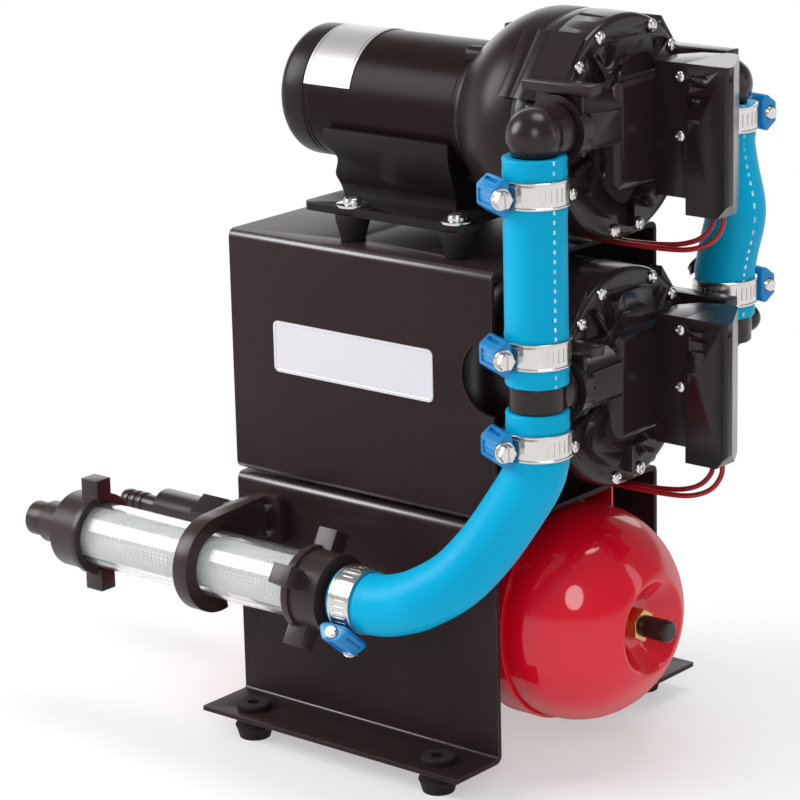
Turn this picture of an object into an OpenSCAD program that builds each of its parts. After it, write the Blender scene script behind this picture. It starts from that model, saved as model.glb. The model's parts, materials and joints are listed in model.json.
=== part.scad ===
// Twin pump water pressure set: two five-chamber diaphragm pumps stacked on folded
// sheet frames, with an accumulator tank underneath and a strainer on the suction side.
// X runs along the motors towards the pump heads, -Y is the front and +Z is up.
// The origin is on the floor, midway between the four feet.

/* [Frames] */
// Thickness of the folded sheet
sheet_t = 2.5; // [2:0.5:3]
// Length of both frames along the motors
frame_l = 168; // [150:2:200]
// Width of the outward flanges that carry the feet
flange_w = 33; // [30:1:45]
// Width of the inward flanges that carry the lower pump
lip_w = 30; // [26:1:34]
// Inner radius of the folds
fold_r = 1.5; // [1:0.5:3]
// Space between the tank and each frame wall
tank_side_gap = 10; // [8:1:20]
// Space between the tank and the lower shelf
tank_top_gap = 2.5; // [2.5:0.5:12]
// Radius of the cut-outs beside the lower pump's ports
cutout_r = 19; // [12:1:20]

/* [Feet] */
// Height of the rubber feet
foot_h = 13; // [8:1:20]
// Largest radius of a rubber foot
foot_r = 10; // [9:0.5:12]
// Distance between the feet along the frame
feet_x = 122; // [100:1:140]
// Distance of the feet outside the frame walls
foot_offset = 19; // [15:1:22]
// Radius of the screw hole through each foot
foot_hole_r = 3.2; // [2.5:0.1:3.6]

/* [Tank] */
// Diameter of the accumulator tank
tank_d = 110; // [100:1:140]
// Length of the tank's straight part
tank_straight = 170; // [150:2:190]
// Depth of each domed tank end
tank_dome = 50; // [45:1:54]
// Wall of the steel tank
tank_wall = 1.6; // [1:0.2:3]

/* [Pumps] */
// Radius of the pump head
head_r = 54.5; // [52:0.5:58]
// Radius of the motor can
motor_r = 33.5; // [32:0.5:36]
// Wall of the motor can
can_wall = 2.5; // [1.5:0.5:3]
// Length of the motor can
can_l = 99; // [90:1:110]
// Height of the rubber pump mounts
mount_h = 13; // [10:1:20]
// Radius of the motor shaft
shaft_r = 4; // [3:0.5:5]
// Radial running clearance of the shaft in its bearings
bearing_fit = 0.05; // [0.02:0.01:0.1]
// Radius on which the five chambers lie
chamber_pitch_r = 30; // [29:0.5:32]
// Height of the ports above the pump axis
port_rise = 9; // [6:0.5:12]
// Bore of the pump ports
port_r = 9; // [8:0.25:9.5]

/* [Hoses] */
// Outer diameter of the hoses
hose_d = 30; // [28:0.5:32]
// Bore of the hoses
hose_bore = 20; // [19:0.25:22]
// Distance of the hose axes from the pump axis
hose_y = 77.5; // [77:0.5:82]
// Width of the clamp bands
band_w = 13; // [9:1:14]

/* [Strainer] */
// Distance of the strainer axis in front of the frame wall
strainer_out = 40.5; // [38:0.5:50]
// Height of the strainer axis
strainer_z = 99.5; // [80:0.5:104]
// Outer radius of the clear tube
bowl_r = 17; // [15:0.5:18]
// Length of the clear tube between the caps
bowl_l = 141.5; // [100:0.5:150]

/* [Hidden] */
$fn = 48;

// Clearances: seated pieces, moving pieces and screws in their holes
seat_gap = 0.1;
move_gap = 0.4;
screw_gap = 0.2;

// Levels and widths of the frames
tank_r = tank_d / 2;
tank_floor_gap = 6;
tank_z = foot_h + tank_floor_gap + tank_r;
shelf_z = tank_z + tank_r + tank_top_gap + sheet_t;
half_d = tank_r + tank_side_gap + sheet_t;
spacer_t = 2;
frame_x = frame_l / 2;
lower_seat_z = shelf_z + spacer_t + sheet_t;
head_clear = 7.8;
axis_h = head_r + head_clear;
shelf_clear = 4.2;
lower_axis_z = lower_seat_z + axis_h;
upper_seat_z = lower_axis_z + head_r + shelf_clear + sheet_t;
upper_axis_z = upper_seat_z + axis_h;
foot_y = half_d + foot_offset;
foot_collar_r = 8.7;
foot_collar_h = 3;
foot_neck_r = 6;

// Stations of a pump along X
can_x1 = 37;
can_x0 = can_x1 - can_l;
bell_l = 18;
bell_x0 = can_x0 - bell_l;
housing_x1 = 86;
diaphragm_x1 = 88;
valve_x1 = 94;
head_x1 = 114;
tower_x1 = 125;
switch_x1 = 143;
cover_x1 = 167;
port_x = 118;
bearing_r = 11;
bearing_w = 7;
can_in_r = motor_r - can_wall;
housing_in_r = head_r - 6.5;
cover_screw_pitch_r = head_r - 4.5;
cover_screw_r = 2;
cover_head_r = 3.4;
plunger_y = 20;
plunger_r = 2.5;
plunger_bore_r = plunger_r + move_gap;
clip_leg_x = 13.5;
lobe_phase = 18;
chamber_turns = [for (i = [0:4]) lobe_phase + 72 * i];
screw_turns = [for (i = [0:4]) each [54 + 72 * i - 11.5, 54 + 72 * i + 11.5]];

// Pump mounts
mount_xs = [-16, 50];
mount_y = 50;
mount_r = 8.7;
mount_foot_r = 6.3;
mount_screw_r = 2.5;
plate_t = 4;
washer_t = 1.2;
nut_h = 4;

// Ports, fittings and clips
fitting_r = 11.3;
elbow_r = 13.6;
leg_r = 13;
spigot_r = port_r - 0.2;
barb_r = hose_bore / 2 - 0.45;
port_tube_r = 11.5;
port_block_half = 14;
collar_r = 16.4;
collar_l = 7.5;
fork_t = 2.6;
groove_r = spigot_r - 0.6;
clip_half_w = 20;
clip_bar_t = 5;
hose_r = hose_d / 2;
hose_x = 118.5;
band_t = 0.9;
band_in_r = hose_r + 0.25;
band_out_r = band_in_r + band_t;
band_rim = 0.5;
port_y1 = hose_y - band_out_r - band_rim - 0.35;
slot_y0 = port_y1 - 5.6;
slot_y1 = slot_y0 + fork_t + 2 * move_gap;
elbow_drop = 9;
tee_half = 6.4;
tee_bore_r = 4.6;
link_top = upper_axis_z + port_rise - elbow_drop;
link_bottom = lower_axis_z + port_rise + tee_half;
suction_top = lower_axis_z + port_rise - tee_half;
front_bands = [link_top - 16.3, link_bottom + 15.8];
rear_bands = [link_top - 6.9, link_bottom + 13.4];
suction_band_z = suction_top - 15.7;
barb_l = 26;
branch_y = 98.2;
branch_r = 6.5;
branch_tilt = 40;

// Strainer
strainer_y = -half_d - strainer_out;
cap_r = bowl_r + 3;
cap_l = 20;
outlet_x0 = -1;
outlet_x1 = outlet_x0 + cap_l;
inlet_x1 = outlet_x0 - bowl_l;
inlet_x0 = inlet_x1 - cap_l;
inlet_hub_l = 18;
inlet_hub_r = 11;
inlet_barb_l = 10;
inlet_barb_r = 9;
inlet_tip = inlet_x0 - inlet_hub_l - inlet_barb_l - 1.5;
cap_cover = 12;
lug_r = 30;
lug_w = 10;
bracket_x = -65.6;
bracket_w = 9;
suction_band_x = outlet_x1 + 12;

// Tank stations
tank_x0 = -tank_straight / 2;
tank_x1 = tank_straight / 2;
tank_rim_r = 26;
tank_rim_depth = tank_dome * sqrt(1 - (tank_rim_r / tank_r) * (tank_rim_r / tank_r));
tank_end0 = tank_x0 - tank_rim_depth;
tank_end1 = tank_x1 + tank_rim_depth;
tank_dish = 11;

// Centre lines of the curved hoses, from end to end
suction_route = [[hose_x, -hose_y, suction_top], [hose_x, -hose_y, suction_top - 11],
    [hose_x, -hose_y, suction_top - 22], [116.5, -79, 170], [109, -83, 155], [97, -90, 134.5],
    [85, -99, 118.5], [70, -105.5, 108], [outlet_x1 + 38, strainer_y + 1, strainer_z + 2.8],
    [outlet_x1 + 26, strainer_y, strainer_z], [outlet_x1 + 13, strainer_y, strainer_z],
    [outlet_x1 + 3, strainer_y, strainer_z]];
link_mid_z = (link_top + link_bottom) / 2;
rear_route = [[hose_x, hose_y, link_top], [hose_x, hose_y, link_top - 11], [hose_x, hose_y, link_top - 22],
    [hose_x + 2.5, hose_y, link_top - 35], [hose_x + 6.5, hose_y, link_mid_z],
    [hose_x + 2.5, hose_y, link_bottom + 35], [hose_x, hose_y, link_bottom + 22],
    [hose_x, hose_y, link_bottom + 11], [hose_x, hose_y, link_bottom]];

// Switch wires of one pump, as offsets from its axis
wire_r = 1.3;
wire_routes = [
    [[158, 18, -39.5], [158, 17, -47], [154, 14, -54], [145, 11, -58], [132, 10, -59.5],
        [112, 10, -60], [96, 10, -60], [84, 10, -59.5], [72, 10, -58.5], [63, 10, -57], [60, 10, -53],
        [60, 10, -47]],
    [[151, 20, -39.5], [151, 19, -47], [147, 16, -53], [139, 14, -56.5], [128, 14, -58.5],
        [110, 14.5, -60], [95, 15, -60], [84, 15, -59.5], [74, 15, -58.5], [65, 15, -57], [62, 15, -53],
        [62, 15, -47]]];

// Colours
black = [0.10, 0.09, 0.09];
frame_brown = [0.20, 0.16, 0.16];
steel = [0.72, 0.72, 0.74];
rubber = [0.07, 0.07, 0.07];
hose_blue = [0.0, 0.58, 0.80];
clamp_blue = [0.05, 0.42, 0.74];
tank_red = [0.80, 0.06, 0.12];
brass = [0.80, 0.66, 0.42];
copper = [0.72, 0.42, 0.25];

// Points of an arc about c
function arc(c, r, a0, a1, n = 8) =
    [for (i = [0:n]) let(a = a0 + (a1 - a0) * i / n) c + r * [cos(a), sin(a)]];

// Points that round the corner c between its neighbours p and q
function round_corner(p, c, q, r, k) =
    let(a = (p - c) / norm(p - c), b = (q - c) / norm(q - c), half = acos(a * b) / 2,
        o = c + (a + b) / norm(a + b) * r / sin(half), s = c + a * r / tan(half) - o,
        turn = sign(cross(c - p, q - c)) * (180 - 2 * half))
    [for (i = [0:k]) let(t = turn * i / k) o + [s.x * cos(t) - s.y * sin(t), s.x * sin(t) + s.y * cos(t)]];

// Outline with corner radii; a radius of 0 keeps a sharp corner
function rounded(pts, radii, k = 5) =
    let(m = len(pts))
    [for (i = [0:m - 1]) let(r = is_list(radii) ? radii[i] : radii)
        each (r == 0 ? [pts[i]] : round_corner(pts[(i + m - 1) % m], pts[i], pts[(i + 1) % m], r, k))];

function box_outline(x0, x1, y0, y1) = [[x1, y0], [x1, y1], [x0, y1], [x0, y0]];

// Smooth curve through route points, with n steps between each pair
function spline_at(p0, p1, p2, p3, t) =
    0.5 * (2 * p1 + (p2 - p0) * t + (2 * p0 - 5 * p1 + 4 * p2 - p3) * t * t
        + (3 * p1 - p0 - 3 * p2 + p3) * t * t * t);
function spline(pts, n) =
    let(m = len(pts))
    concat([for (i = [0:m - 2]) for (j = [0:n - 1])
        spline_at(pts[max(i - 1, 0)], pts[i], pts[i + 1], pts[min(i + 2, m - 1)], j / n)], [pts[m - 1]]);

// Rings of a swept tube: the side vectors are carried along the curve
function unit(v) = v / norm(v);
function tangent(c, i) = unit(c[min(i + 1, len(c) - 1)] - c[max(i - 1, 0)]);
function next_side(side, t) = unit(side - t * (side * t));
function sides(c, first) =
    [for (i = 0, s = next_side(first, tangent(c, 0)); i < len(c);
        i = i + 1, s = i < len(c) ? next_side(s, tangent(c, i)) : s) s];
function ring(p, t, s, r, n) =
    [for (j = [0:n - 1]) p + r * (cos(360 * j / n) * s + sin(360 * j / n) * cross(t, s))];

// Tube swept along a curve; with a bore it is one shell with two open ends
module swept_tube(c, r, bore_r, n, first = [0, 1, 0]) {
    m = len(c);
    s = sides(c, first);
    outer = [for (i = [0:m - 1]) each ring(c[i], tangent(c, i), s[i], r, n)];
    inner = bore_r > 0 ? [for (i = [0:m - 1]) each ring(c[i], tangent(c, i), s[i], bore_r, n)] : [];
    base = m * n;
    walls = [for (i = [0:m - 2]) for (j = [0:n - 1]) let(k = (j + 1) % n)
        [i * n + j, (i + 1) * n + j, (i + 1) * n + k, i * n + k]];
    bore_walls = bore_r > 0 ? [for (i = [0:m - 2]) for (j = [0:n - 1]) let(k = (j + 1) % n)
        [base + i * n + j, base + i * n + k, base + (i + 1) * n + k, base + (i + 1) * n + j]] : [];
    last = (m - 1) * n;
    ends = bore_r > 0
        ? [for (j = [0:n - 1]) let(k = (j + 1) % n) each [[j, k, base + k, base + j],
            [last + j, base + last + j, base + last + k, last + k]]]
        : [[for (j = [0:n - 1]) j], [for (j = [n - 1:-1:0]) last + j]];
    polyhedron(points = concat(outer, inner), faces = concat(walls, bore_walls, ends), convexity = 6);
}

// A rod along X between two stations
module x_rod(x0, x1, r) {
    translate([x0, 0, 0]) rotate([0, 90, 0]) cylinder(h = x1 - x0, r = r);
}

// A ring along X
module x_ring(x0, x1, outer_r, inner_r) {
    difference() {
        x_rod(x0, x1, outer_r);
        x_rod(x0 - 1, x1 + 1, inner_r);
    }
}

// A revolved body about X from [radius, station] points
module x_spin(pts) {
    rotate([0, 90, 0]) rotate_extrude() polygon(pts);
}

// A Y-Z outline drawn out along X, and an X-Z outline drawn out along Y
module along_x(x0, x1) {
    translate([x0, 0, 0]) rotate([90, 0, 90]) linear_extrude(height = x1 - x0) children();
}
module along_y(y0, y1) {
    translate([0, y1, 0]) rotate([90, 0, 0]) linear_extrude(height = y1 - y0) children();
}

// A rod along Y between two places
module y_rod(y0, y1, r) {
    translate([0, y1, 0]) rotate([90, 0, 0]) cylinder(h = y1 - y0, r = r);
}

// Children at each pump mount
module at_mounts() {
    for (x = mount_xs, y = [-mount_y, mount_y]) translate([x, y, 0]) children();
}

// Children at each foot
module at_feet() {
    for (x = [-feet_x / 2, feet_x / 2], y = [-foot_y, foot_y]) translate([x, y, 0]) children();
}

// Children on both pump axes
module at_both_pumps() {
    for (z = [lower_axis_z, upper_axis_z]) translate([0, 0, z]) children();
}

// Children turned about the pump axis, measured from +Y towards +Z
module turned(a) {
    rotate([a, 0, 0]) children();
}

// Frames

strap_bolt_x = [-50, 70];
strap_bolt_y = half_d - sheet_t - 4;

module lower_frame() {
    h = half_d;
    i = half_d - sheet_t;
    f = half_d + flange_w;
    z0 = foot_h;
    z1 = shelf_z;
    t = sheet_t;
    o = fold_r + sheet_t;
    n = fold_r;
    outline = rounded([[f, z0], [f, z0 + t], [h, z0 + t], [h, z1], [-h, z1], [-h, z0 + t],
        [-f, z0 + t], [-f, z0], [-i, z0], [-i, z1 - t], [i, z1 - t], [i, z0]],
        [0, 0, n, o, o, n, 0, 0, o, n, n, o]);
    color(frame_brown) difference() {
        along_x(-frame_x, frame_x) polygon(outline);
        at_feet() translate([0, 0, z0 - 1]) cylinder(h = t + 2, r = foot_neck_r + seat_gap);
        at_mounts() translate([0, 0, z1 - t - 1]) cylinder(h = t + 2, r = mount_screw_r + screw_gap);
        bracket_screw_places() y_rod(-h - 1, -i + 1, bracket_screw_r + screw_gap);
        strap_screw_places() translate([0, 0, z1 - t - 1])
            cylinder(h = t + 2, r = strap_screw_r + screw_gap);
    }
}

module upper_frame() {
    h = half_d;
    i = half_d - sheet_t;
    l = half_d - lip_w;
    z0 = shelf_z + spacer_t;
    z1 = upper_seat_z;
    t = sheet_t;
    o = fold_r + sheet_t;
    n = fold_r;
    outline = rounded([[h, z0], [h, z1], [-h, z1], [-h, z0], [-l, z0], [-l, z0 + t],
        [-i, z0 + t], [-i, z1 - t], [i, z1 - t], [i, z0 + t], [l, z0 + t], [l, z0]],
        [o, o, o, o, 0, 0, n, n, n, n, 0, 0]);
    color(frame_brown) difference() {
        along_x(-frame_x, frame_x) polygon(outline);
        translate([frame_x, 0, lower_axis_z + port_rise]) y_rod(-h - 1, h + 1, cutout_r);
        at_mounts() translate([0, 0, z0 - 1]) cylinder(h = t + 2, r = mount_screw_r + screw_gap);
        at_mounts() translate([0, 0, z1 - t - 1]) cylinder(h = t + 2, r = mount_screw_r + screw_gap);
    }
}

module rubber_feet() {
    body_h = foot_h - seat_gap;
    color(rubber) at_feet() difference() {
        union() {
            rotate_extrude() polygon(concat([[0, 0], [foot_r - 2, 0]],
                arc([foot_r - 1, body_h / 2], 1, -60, 60), [[foot_r - 1, body_h], [0, body_h]]));
            cylinder(h = foot_h + sheet_t + 1, r = foot_neck_r);
            translate([0, 0, foot_h + sheet_t + seat_gap]) rotate_extrude()
                polygon(concat([[0, 0], [foot_collar_r, 0]],
                    arc([foot_collar_r - 1, foot_collar_h - 1], 1, 0, 90), [[0, foot_collar_h]]));
        }
        translate([0, 0, -1]) cylinder(h = foot_h + sheet_t + foot_collar_h + 3, r = foot_hole_r);
    }
}

module rating_plate() {
    x0 = -55.3;
    x1 = 47.5;
    z0 = lower_axis_z - 8.5;
    z1 = lower_axis_z + 18;
    color("gainsboro") along_y(-half_d - 0.6, -half_d) polygon(rounded(box_outline(x0, x1, z0, z1), 3));
}

// Motors

module motor_can() {
    color(black) x_ring(can_x0, can_x1, motor_r, can_in_r);
}

module motor_end_bells() {
    round_r = 8;
    face_x = bell_x0;
    in_x = bell_x0 + 3;
    color(black) at_both_pumps() {
        x_spin(concat([[0, face_x]], arc([motor_r - round_r, face_x + round_r], round_r, -90, 0),
            [[motor_r, can_x0], [can_in_r, can_x0], [can_in_r, face_x + round_r + 1],
                [motor_r - round_r - 2, in_x], [bearing_r + 3, in_x], [bearing_r + 3, in_x + bearing_w + 2],
                [bearing_r + seat_gap, in_x + bearing_w + 2], [bearing_r + seat_gap, in_x + 2],
                [0, in_x + 2]]));
        for (a = [45, 225]) turned(a) translate([0, motor_r - 11, 0]) rotate([0, 90, 0])
            translate([0, 0, face_x - 2]) cylinder(h = 2, r = 3.6);
    }
}

module motor_labels() {
    color("whitesmoke") at_both_pumps() rotate([0, 90, 0]) translate([0, 0, -61])
        rotate([0, 0, 130]) rotate_extrude(angle = 125)
            translate([motor_r + seat_gap, 0]) square([0.4, 30]);
}

module motor_bearings() {
    rear_x = bell_x0 + 5;
    front_x = can_x1 + 2;
    color(steel) at_both_pumps() for (x = [rear_x, front_x]) {
        x_ring(x, x + bearing_w, shaft_r + 2.6, shaft_r + bearing_fit);
        x_ring(x, x + bearing_w, bearing_r, bearing_r - 2.4);
        for (i = [0:7]) turned(45 * i) translate([x + bearing_w / 2, (bearing_r + shaft_r + 0.2) / 2, 0])
            sphere(r = (bearing_r - shaft_r - 5.2) / 2, $fn = 24);
    }
}

module armature() {
    color(copper) {
        x_rod(bell_x0 + 5.5, 72, shaft_r);
        x_rod(-60, -51, 12);
        difference() {
            x_rod(-44, 14, 25);
            for (i = [0:9]) turned(36 * i) translate([-45, 19, -1.2]) cube([60, 7, 2.4]);
        }
        for (x = [-50, 14]) translate([x, 0, 0]) x_ring(0, 6, 21, 8);
        x_rod(-51, 20, 8.5);
    }
}

module motor_magnets() {
    color([0.25, 0.25, 0.27]) at_both_pumps() for (a = [0, 180]) rotate([0, 90, 0])
        translate([0, 0, -46]) rotate([0, 0, a - 60]) rotate_extrude(angle = 120)
            translate([26, 0]) square([can_in_r - 26 - seat_gap, 62]);
}

module motor_brushes() {
    color([0.3, 0.28, 0.26]) at_both_pumps() {
        x_ring(can_x0, can_x0 + 2, can_in_r - seat_gap, 13);
        for (a = [90, 270]) turned(a) translate([can_x0 + 2, 12 + move_gap, -3]) cube([6, 12, 6]);
    }
}

// Flat pads on the upper sides, shared by the housing, the plates and the head
module side_pads(x0, x1) {
    for (s = [-1, 1]) scale([1, s, 1]) along_x(x0, x1) polygon([[30, 22], [54, 20], [31, 49]]);
}

// The cast drive housing flares from the motor to the head in a quarter wave
function flare_r(x, small, big) = small + (big - small) * sin(90 * min(1, (x - can_x1) / 38));

module drive_housing() {
    wall = 4;
    xs = [37, 42, 48, 54, 60, 66, 75];
    lug_x = 45;
    color(black) difference() {
        union() {
            x_spin(concat([[0, can_x1]], [for (x = xs) [flare_r(x, motor_r + 0.7, head_r), x]],
                [[head_r, housing_x1], [0, housing_x1]]));
            translate([lug_x, -5, 0]) cube([6, 10, flare_r(lug_x, motor_r + 0.7, head_r) + 4]);
            for (a = [58, 122, 238, 302]) turned(a) translate([0, motor_r + 2.6, 0]) x_rod(34, 48, 4);
            side_pads(housing_x1 - 8, housing_x1);
        }
        x_rod(can_x1 - 10, can_x1, motor_r + seat_gap);
        x_rod(can_x1 - 1, can_x1 + 2 + bearing_w, bearing_r + seat_gap);
        x_rod(can_x1 - 1, 60, shaft_r + 1);
        x_spin(concat([[0, 50]],
            [for (x = [50, 54, 60, 66, 75]) [flare_r(x, motor_r, head_r - 1) - wall, x]],
            [[housing_in_r, 80], [housing_in_r, housing_x1 + 1], [0, housing_x1 + 1]]));
        for (route = wire_routes) translate(route[len(route) - 1])
            cylinder(h = 20, r = wire_r + 0.6, center = true);
    }
}

// Moulded foot that cradles the motor: a waisted block, hollow from below, on a slotted plate
module pump_base() {
    z0 = -axis_h + mount_h;
    z1 = z0 + plate_t;
    x1 = can_x1 - 3.5;
    rim_z = -12;
    rim_y = motor_r + 2.5;
    foot_y = 30;
    ear_x = 60;
    ear_y = 39;
    plate_y = 56;
    across = rounded([[foot_y, z1 - 0.5], [foot_y, z1 + 5], [rim_y, rim_z - 8], [rim_y, rim_z],
        [-rim_y, rim_z], [-rim_y, rim_z - 8], [-foot_y, z1 + 5], [-foot_y, z1 - 0.5]],
        [0, 5, 5, 0, 0, 5, 5, 0]);
    along = rounded([[x1, z1 - 0.5], [x1, rim_z], [-46, rim_z], [-46, rim_z - 7], [-38, rim_z - 14],
        [-43, rim_z - 24], [-38, z1 - 0.5]], [0, 0, 0, 3, 4, 4, 0]);
    color(black) difference() {
        union() {
            translate([0, 0, z0]) linear_extrude(height = plate_t)
                polygon(rounded([[-44, -plate_y], [ear_x, -plate_y], [ear_x, -ear_y], [50, -ear_y + 2],
                    [50, ear_y - 2], [ear_x, ear_y], [ear_x, plate_y], [-44, plate_y]],
                    [5, 5, 4, 3, 3, 4, 5, 5]));
            intersection() {
                along_x(-50, x1) polygon(across);
                along_y(-rim_y - 1, rim_y + 1) polygon(along);
            }
        }
        x_rod(-60, can_x1 + 1, motor_r + seat_gap);
        for (x = [-33, -11.5, 10]) translate([x, -foot_y + 5, z0 - 1])
            cube([18.5, 2 * (foot_y - 5), plate_t + 8]);
        at_mounts() slot_hole(z0, 8 + 2 * mount_screw_r, 2 * mount_screw_r + 1);
        for (y = [-mount_y, mount_y]) translate([3, y, 0]) slot_hole(z0, 14, 5);
    }
}

// Slot through the base plate
module slot_hole(z0, l, w) {
    translate([0, 0, z0 - 1]) linear_extrude(height = plate_t + 2)
        polygon(concat(arc([(l - w) / 2, 0], w / 2, -90, 90), arc([(w - l) / 2, 0], w / 2, 90, 270)));
}

module rubber_mounts() {
    color(rubber) for (z = [lower_seat_z, upper_seat_z]) translate([0, 0, z]) at_mounts() rotate_extrude()
        polygon([[mount_screw_r + screw_gap, 0], [mount_foot_r, 0], [mount_foot_r, 1.5],
            [mount_r, mount_h - 3], [mount_r, mount_h], [mount_screw_r + screw_gap, mount_h]]);
}

bracket_screw_r = 2;
strap_screw_r = 2;

module bracket_screw_places() {
    for (dz = [-7, 7]) translate([bracket_x + 6, 0, bracket_pad_z + dz]) children();
}

module strap_screw_places() {
    for (x = strap_bolt_x, y = [-strap_bolt_y + 8, strap_bolt_y - 8]) translate([x, y, 0]) children();
}

module pump_screw(seat_z, nut_z) {
    head_z = seat_z + mount_h + plate_t + washer_t;
    translate([0, 0, nut_z - 1]) cylinder(h = head_z - nut_z + 2, r = mount_screw_r);
    translate([0, 0, head_z]) rotate_extrude()
        polygon(concat([[0, 0], [4.6, 0]], arc([2.6, 1.2], 2, 0, 90, 4), [[0, 3.2]]));
}

module washer(z, t) {
    translate([0, 0, z]) difference() {
        cylinder(h = t, r = 8);
        translate([0, 0, -1]) cylinder(h = t + 2, r = mount_screw_r + seat_gap);
    }
}

module nut(z) {
    translate([0, 0, z]) difference() {
        cylinder(h = nut_h, r = 4.8, $fn = 6);
        translate([0, 0, -1]) cylinder(h = nut_h + 2, r = mount_screw_r + seat_gap);
    }
}

module mount_screws() {
    lower_nut = shelf_z - sheet_t - nut_h;
    upper_nut = upper_seat_z - sheet_t - nut_h;
    color(steel) at_mounts() {
        pump_screw(lower_seat_z, lower_nut);
        pump_screw(upper_seat_z, upper_nut);
        washer(lower_seat_z + mount_h + plate_t, washer_t);
        washer(upper_seat_z + mount_h + plate_t, washer_t);
        washer(shelf_z, spacer_t);
        nut(lower_nut);
        nut(upper_nut);
    }
    color(steel) strap_screw_places() {
        translate([0, 0, shelf_z - sheet_t - 8]) cylinder(h = 8 + sheet_t + 0.5, r = strap_screw_r);
        translate([0, 0, shelf_z]) cylinder(h = 1.4, r = 4.5);
    }
    color(steel) bracket_screw_places() {
        y_rod(-half_d - 8, -half_d + sheet_t + 4, bracket_screw_r);
        y_rod(-half_d + sheet_t, -half_d + sheet_t + 3, 4);
    }
}

// Pump internals

module cam() {
    color(steel) difference() {
        translate([59, 0, 0]) rotate([0, 3, 0]) x_rod(-7, 7, 12);
        x_rod(40, 80, shaft_r + seat_gap);
    }
}

module wobble_plates() {
    hub_in = 13;
    color([0.85, 0.84, 0.78]) at_both_pumps() {
        difference() {
            union() {
                x_rod(51, 66, 17);
                x_rod(66, 71, 27);
                for (a = chamber_turns) turned(a) {
                    translate([0, chamber_pitch_r, 0]) x_rod(66, 78, 7);
                    translate([0, chamber_pitch_r, 0]) x_rod(78, housing_x1 - seat_gap, 9);
                }
            }
            x_rod(50, 80, hub_in);
        }
    }
}

module diaphragms() {
    color(rubber) at_both_pumps() {
        x_rod(housing_x1, diaphragm_x1, head_r);
        side_pads(housing_x1, diaphragm_x1);
        for (a = chamber_turns) turned(a) {
            translate([0, chamber_pitch_r, 0]) x_rod(diaphragm_x1 - 0.5, diaphragm_x1 + 2, 8.5);
            translate([0, chamber_pitch_r + 8, 0]) x_rod(valve_x1 - 3.8, valve_x1 - 3, 3.7);
            translate([0, chamber_pitch_r - 9.5, 0]) x_rod(valve_x1, valve_x1 + 0.8, 3.4);
        }
    }
}

module valve_plates() {
    color([0.16, 0.15, 0.15]) at_both_pumps() difference() {
        union() {
            x_rod(diaphragm_x1, valve_x1, head_r);
            side_pads(diaphragm_x1, valve_x1);
        }
        for (a = chamber_turns) turned(a) {
            translate([0, chamber_pitch_r, 0]) x_rod(diaphragm_x1 - 1, valve_x1 - 3, 12.2);
            translate([0, chamber_pitch_r + 8, 0]) x_rod(diaphragm_x1, valve_x1 + 1, 2.4);
            translate([0, chamber_pitch_r - 9.5, 0]) x_rod(diaphragm_x1, valve_x1 + 1, 2);
        }
    }
}

// Outline of the raised five-lobed centre of the head, in Y and Z
function lobe_outline(peak, valley) =
    rounded([for (i = [0:4]) each [
        peak * [cos(lobe_phase + 72 * i - 17), sin(lobe_phase + 72 * i - 17)],
        peak * [cos(lobe_phase + 72 * i + 17), sin(lobe_phase + 72 * i + 17)],
        valley * [cos(lobe_phase + 72 * i + 36), sin(lobe_phase + 72 * i + 36)]]],
        [for (i = [0:4]) each [7, 7, 9]]);

// Broad tower in the middle of the head, rounded towards the front, the top and the bottom
module tower() {
    x0 = head_x1 + 4;
    y0 = -22;
    y1 = 27;
    z = 28;
    r = 6;
    intersection() {
        along_x(x0, tower_x1) polygon(rounded(box_outline(y0, y1, -z, z), 8));
        translate([0, 0, -z]) linear_extrude(height = 2 * z)
            polygon(rounded(box_outline(x0, tower_x1, y0, y1), [r, 1, 0, 0]));
        along_y(y0, y1) polygon(rounded(box_outline(x0, tower_x1, -z, z), [r, r, 0, 0]));
    }
}

module head_cover() {
    gallery_x1 = 108;
    chamber_x1 = head_x1 + 3;
    chamber_r = 25;
    lobe_x1 = head_x1 + 5;
    port_y0 = 33;
    color(black) difference() {
        union() {
            x_spin(concat([[0, valve_x1], [head_r, valve_x1]],
                arc([head_r - 3, head_x1 - 3], 3, 0, 90, 4), [[0, head_x1]]));
            along_x(head_x1 - 1, lobe_x1) polygon(lobe_outline(46, 31));
            along_x(lobe_x1 - 1, lobe_x1 + 3) polygon(lobe_outline(38, 24));
            tower();
            for (i = [0:4]) turned(54 + 72 * i) translate([head_x1 - 1, 26, -1.5]) cube([5, 22, 3]);
            side_pads(valve_x1, head_x1 - 1);
            for (s = [-1, 1]) scale([1, s, 1]) port_block();
        }
        for (a = screw_turns) turned(a) translate([0, cover_screw_pitch_r, 0]) {
            x_rod(head_x1 - 12.5, head_x1 + 1, cover_screw_r + seat_gap);
            x_rod(head_x1, head_x1 + 10, cover_head_r + seat_gap);
        }
        x_ring(valve_x1 - 1, gallery_x1, 43, 28);
        x_rod(valve_x1 - 1, chamber_x1, chamber_r);
        translate([0, -37, port_rise]) x_rod(gallery_x1 - 4, port_x, 5);
        translate([gallery_x1 + 4.8, 0, port_rise]) y_rod(10, port_y0 + 1, 3.6);
        translate([port_x, 0, port_rise]) for (s = [-1, 1]) scale([1, s, 1]) {
            y_rod(port_y0, port_y1 + 1, port_r);
            y_rod(slot_y0 - 2.6, port_y1 + 1, fitting_r + seat_gap);
            translate([-clip_leg_x - move_gap, slot_y0, -13])
                cube([2 * (clip_leg_x + move_gap), slot_y1 - slot_y0, 40]);
        }
        translate([0, plunger_y, 0]) x_rod(chamber_x1 - 1, tower_x1 + 1, plunger_bore_r);
    }
}

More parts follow.
